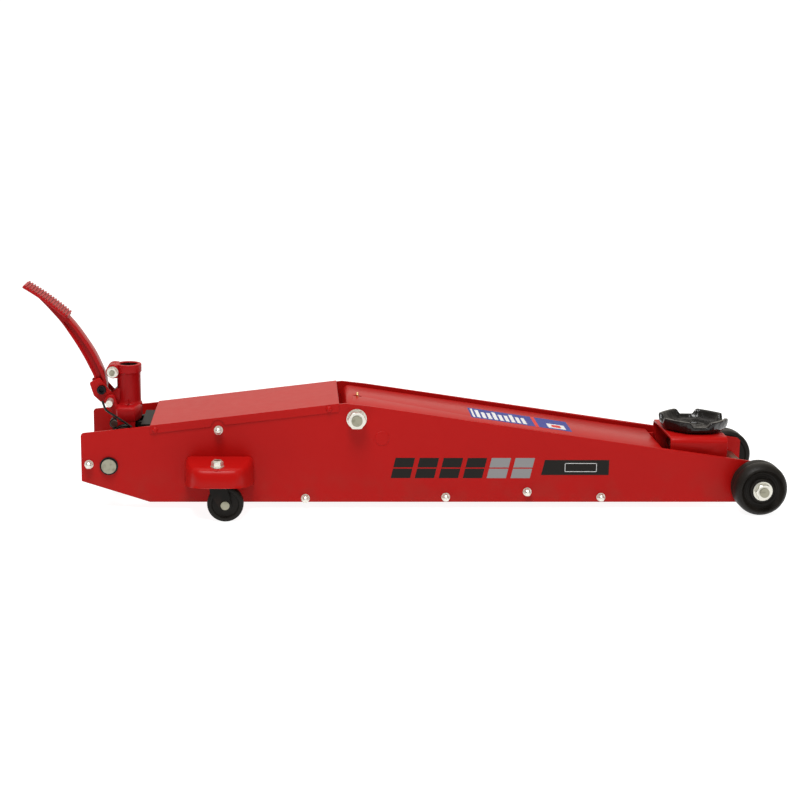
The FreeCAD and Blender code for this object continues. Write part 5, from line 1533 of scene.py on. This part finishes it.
# ---------------------------------------------------------------- studio
@dataclass(frozen=True)
class Studio:
    """White floor, soft light and the camera, in metres and radians."""

    eye: tuple[float, float, float] = (-0.21354, -2.97016, 0.86010)
    pitch: float = 0.2231
    yaw: float = 0.0689
    roll: float = 0.0195
    lens: float = 72.59
    sensor: float = 36.0
    floor_size: float = 60.0
    floor_shades: tuple[float, float] = (0.3, 0.34)
    floor_glow: float = 0.92
    glow: float = 0.22
    back_glow: float = 0.8
    sky: Colour = (1, 0.94, 0.84, 1)
    white: Colour = (1, 1, 1, 1)
    white_glow: float = 1.1
    aim: tuple[float, float, float] = (0, 0, 0.1)
    lamps: tuple = (("key", (-0.5, -1.3, 3.5), 1.6, 142), ("fill", (2.2, -2.3, 2.2), 1.6, 12),
                    ("top", (0.1, 1.3, 2.6), 2.6, 10))

    def camera(self) -> None:
        """Stand the camera at the product view."""
        data = bpy.data.cameras.new("product_view")
        data.sensor_width = self.sensor
        data.lens = self.lens
        camera = bpy.data.objects.new("product_view", data)
        bpy.context.scene.collection.objects.link(camera)
        ahead = Vector((math.sin(self.yaw) * math.cos(self.pitch),
                        math.cos(self.yaw) * math.cos(self.pitch), -math.sin(self.pitch)))
        level = Vector((math.cos(self.yaw), -math.sin(self.yaw), 0))
        above = level.cross(ahead)
        right = math.cos(self.roll) * level + math.sin(self.roll) * above
        up = -math.sin(self.roll) * level + math.cos(self.roll) * above
        turn = Matrix((right, up, -ahead)).transposed()
        camera.matrix_world = Matrix.Translation(self.eye) @ turn.to_4x4()
        bpy.context.scene.camera = camera

    def lamp(self, name: str, place: Sequence[float], size: float, power: float) -> None:
        """Add one large soft light that faces the jack.

        Args:
            name: its name.
            place: where it stands.
            size: the length of its side.
            power: its power in watts.
        """
        data = bpy.data.lights.new(name, "AREA")
        data.shape = "SQUARE"
        data.size = size
        data.energy = power
        lamp = bpy.data.objects.new(name, data)
        bpy.context.scene.collection.objects.link(lamp)
        lamp.location = place
        lamp.rotation_euler = (Vector(self.aim) - Vector(place)).to_track_quat("-Z", "Y").to_euler()

    def floor(self) -> None:
        """Lay the floor, which glows so that only soft shadows show on it."""
        mesh = bmesh.new()
        bmesh.ops.create_grid(mesh, x_segments=1, y_segments=1, size=self.floor_size / 2)
        floor = placed("studio_floor", mesh)
        graph = Graph("studio_white")
        dark, light = ((shade, shade, shade, 1) for shade in self.floor_shades)
        base = graph.blend(graph.noise(3, 2), dark, light)
        floor.data.materials.append(graph.finish(
            Base_Color=base, Roughness=0.95, Specular_IOR_Level=0.0, Emission_Color=self.white,
            Emission_Strength=self.floor_glow))

    def world(self) -> None:
        """Surround the jack with soft light, stronger from behind, that the camera sees as white."""
        world = bpy.data.worlds.new("studio_world")
        world.use_nodes = True
        air = Nodes()
        air.tree = world.node_tree
        air.tree.nodes.remove(air.tree.nodes["Background"])
        place = air.add("ShaderNodeTexCoord", {}, {}, "Generated")
        depth = air.add("ShaderNodeSeparateXYZ", {}, {0: place}, "Y")
        power = air.add("ShaderNodeMapRange", {"interpolation_type": "SMOOTHSTEP"},
                        {0: depth, 1: -0.25, 2: 0.75, 3: self.glow, 4: self.back_glow})
        soft = air.add("ShaderNodeBackground", {}, [self.sky, power])
        clear = air.add("ShaderNodeBackground", {}, [self.white, self.white_glow])
        seen = air.add("ShaderNodeLightPath", {}, {}, "Is Camera Ray")
        pick = air.add("ShaderNodeMixShader", {}, [seen, soft, clear])
        air.feed(air.tree.nodes["World Output"].inputs[0], pick)
        bpy.context.scene.world = world

    def build(self) -> None:
        """Make the floor, the lights and the camera."""
        self.floor()
        self.world()
        for lamp in self.lamps:
            self.lamp(*lamp)
        bpy.context.scene.view_settings.view_transform = "Standard"
        self.camera()
        LOG.info("studio ready")


# ---------------------------------------------------------------- printed films
@dataclass
class Prints:
    """The printed films on the plate and on the arm, with no wording."""

    plate: str = "side_plate_right"
    film: float = 0.12
    off_plate: float = 0.02
    off_arm: float = 0.05
    lean: float = 0.22
    stripes_start: float = -30.0
    stripes_low: float = 59.4
    stripes_high: float = 98.0
    stripe: float = 36.0
    gap: float = 8.6
    level_gap: float = 2.4
    bar_start: float = 250.0
    bar_end: float = 377.0
    bar_low: float = 65.6
    bar_high: float = 94.4
    frame_span: tuple = (44, 104)
    frame_inset: float = 6.0
    label_start: float = 124.0
    label_end: float = 316.0
    label_half: float = 40.0
    arm_ends: tuple = (-0.09, 0.475)
    arm_reach: float = 0.02

    def film_over(self, name: str, corners: Sequence[Vector], out: Vector, body: str,
                  finish: Finish) -> None:
        """Lay a thin film over four corners.

        Args:
            name: the piece's name.
            corners: its corners, in the frame's own coordinates.
            out: the direction that it faces, one long.
            body: the body that it moves with.
            finish: its ink.
        """
        raised = [place + out * self.film * MM for place in corners]
        made(name, skin([corners, raised]), body, finish, smooth=False)

    def strip(self, name: str, span: Pair, heights: Pair, finish: Finish, leans: Pair,
              lift: float = 0.0) -> None:
        """Print one bar on the outside of the plate.

        Args:
            name: the piece's name.
            span: where its lower edge starts and ends along the jack.
            heights: the heights of its lower and upper edge.
            finish: its ink.
            leans: how far its near and its far end lean for each millimetre of height.
            lift: how far it lies in front of the first film.
        """
        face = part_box(self.plate)[0][1] - self.off_plate * MM - lift * MM
        low, high = heights
        near, far = (lean * (high - low) for lean in leans)
        corners = [Vector((x * MM, face, z * MM)) for x, z in (
            (span[0], low), (span[1], low), (span[1] + far, high), (span[0] + near, high))]
        self.film_over(name, corners, Vector((0, -1, 0)), "chassis", finish)

    def stripes(self) -> None:
        """Print six leaning blocks from black to grey, each cut by a thin level gap."""
        middle_height = (self.stripes_low + self.stripes_high) / 2
        halves = ((self.stripes_low, middle_height - self.level_gap / 2),
                  (middle_height + self.level_gap / 2, self.stripes_high))
        for k in range(6):
            ink = Finish.BLACK_INK if k < 4 else Finish.GREY_INK
            for part, (low, high) in enumerate(halves):
                start = (self.stripes_start + k * (self.stripe + self.gap)
                         + self.lean * (low - self.stripes_low))
                self.strip(f"stripe_{k}_{part}", (start, start + self.stripe), (low, high), ink,
                           (self.lean, self.lean))

    def bar(self) -> None:
        """Print the black bar with a thin plain frame in it."""
        self.strip("name_bar", (self.bar_start, self.bar_end), (self.bar_low, self.bar_high),
                   Finish.BLACK_INK, (self.lean, 0))
        left, right = (self.bar_start + place for place in self.frame_span)
        low, high = self.bar_low + self.frame_inset, self.bar_high - self.frame_inset
        for name, span, heights in (("bottom", (left, right), (low, low + 1)),
                                    ("top", (left, right), (high - 1, high)),
                                    ("near", (left, left + 1), (low, high)),
                                    ("far", (right - 1, right), (low, high))):
            self.strip("frame_" + name, span, heights, Finish.WHITE_INK, (0, 0), self.film)

    def arm_height(self) -> Callable[[float], float]:
        """Find the slope of the arm's top.

        Returns:
            A function that gives the top's height at a place along the jack, in metres.
        """
        verts = [v.co for v in bpy.data.objects["arm_top_plate"].data.vertices]
        rear, front = (max((v for v in verts if abs(v.x - end) < self.arm_reach), key=lambda v: v.z)
                       for end in self.arm_ends)
        slope = (front.z - rear.z) / (front.x - rear.x)
        return lambda x: rear.z + slope * (x - rear.x)

    def on_arm(self, name: str, span: Pair, across: Pair, finish: Finish, layer: int) -> None:
        """Print one rectangle on the top of the lift arm.

        Args:
            name: the piece's name.
            span: where it starts and ends along the jack.
            across: where it starts and ends across the arm.
            finish: its ink.
            layer: how many films lie under it.
        """
        surface = self.arm_height()
        lift = self.off_arm + layer * self.film
        corners = [Vector((x * MM, y * MM, surface(x * MM) + lift * MM)) for x, y in (
            (span[0], across[0]), (span[1], across[0]), (span[1], across[1]), (span[0], across[1]))]
        self.film_over(name, corners, Vector((0, 0, 1)), "lift_arm", finish)

    def label(self) -> None:
        """A blue label with white bars, a red divider and a plain square."""
        start, end, half = self.label_start, self.label_end, self.label_half
        self.on_arm("label_field", (start, end), (-half, half), Finish.BLUE_INK, 0)
        self.on_arm("label_divider", (end - 70, end - 63), (-half, half), Finish.RED_INK, 1)
        for k in range(9):
            inset = 6 if k % 3 else 0
            self.on_arm(f"label_bar_{k}", (start + 12 + k * 11, start + 19 + k * 11),
                        (-half + 8, half - 12 - inset * 2), Finish.WHITE_INK, 1)
        self.on_arm("label_panel", (end - 44, end - 10), (-half + 9, -half + 42), Finish.WHITE_INK, 1)
        self.on_arm("label_mark", (end - 36, end - 18), (-half + 16, -half + 35), Finish.RED_INK, 2)
        self.on_arm("label_foot", (start + 4, start + 8), (-half + 6, half - 6), Finish.WHITE_INK, 1)

    def build(self) -> None:
        """Make every film."""
        self.stripes()
        self.bar()
        self.label()
        LOG.info("printed films")


@dataclass
class Jack:
    """The whole jack, built in order."""

    studio: Studio = Studio()

    def build(self) -> None:
        """Build everything."""
        self.studio.build()
        for finish, nodes in NODE_FINISH.items():
            for node in nodes:
                dress(bpy.data.objects[node], finish)
        for part in (Plates(), HandleSocket(), Pedal(), PedalSpring(), PlungerSpring(), Saddle(),
                     Wheels(), CasterHood(), Welds(), Prints()):
            part.build()


def main() -> None:
    """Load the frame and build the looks."""
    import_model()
    Jack().build()


if __name__ == "__main__":
    main()
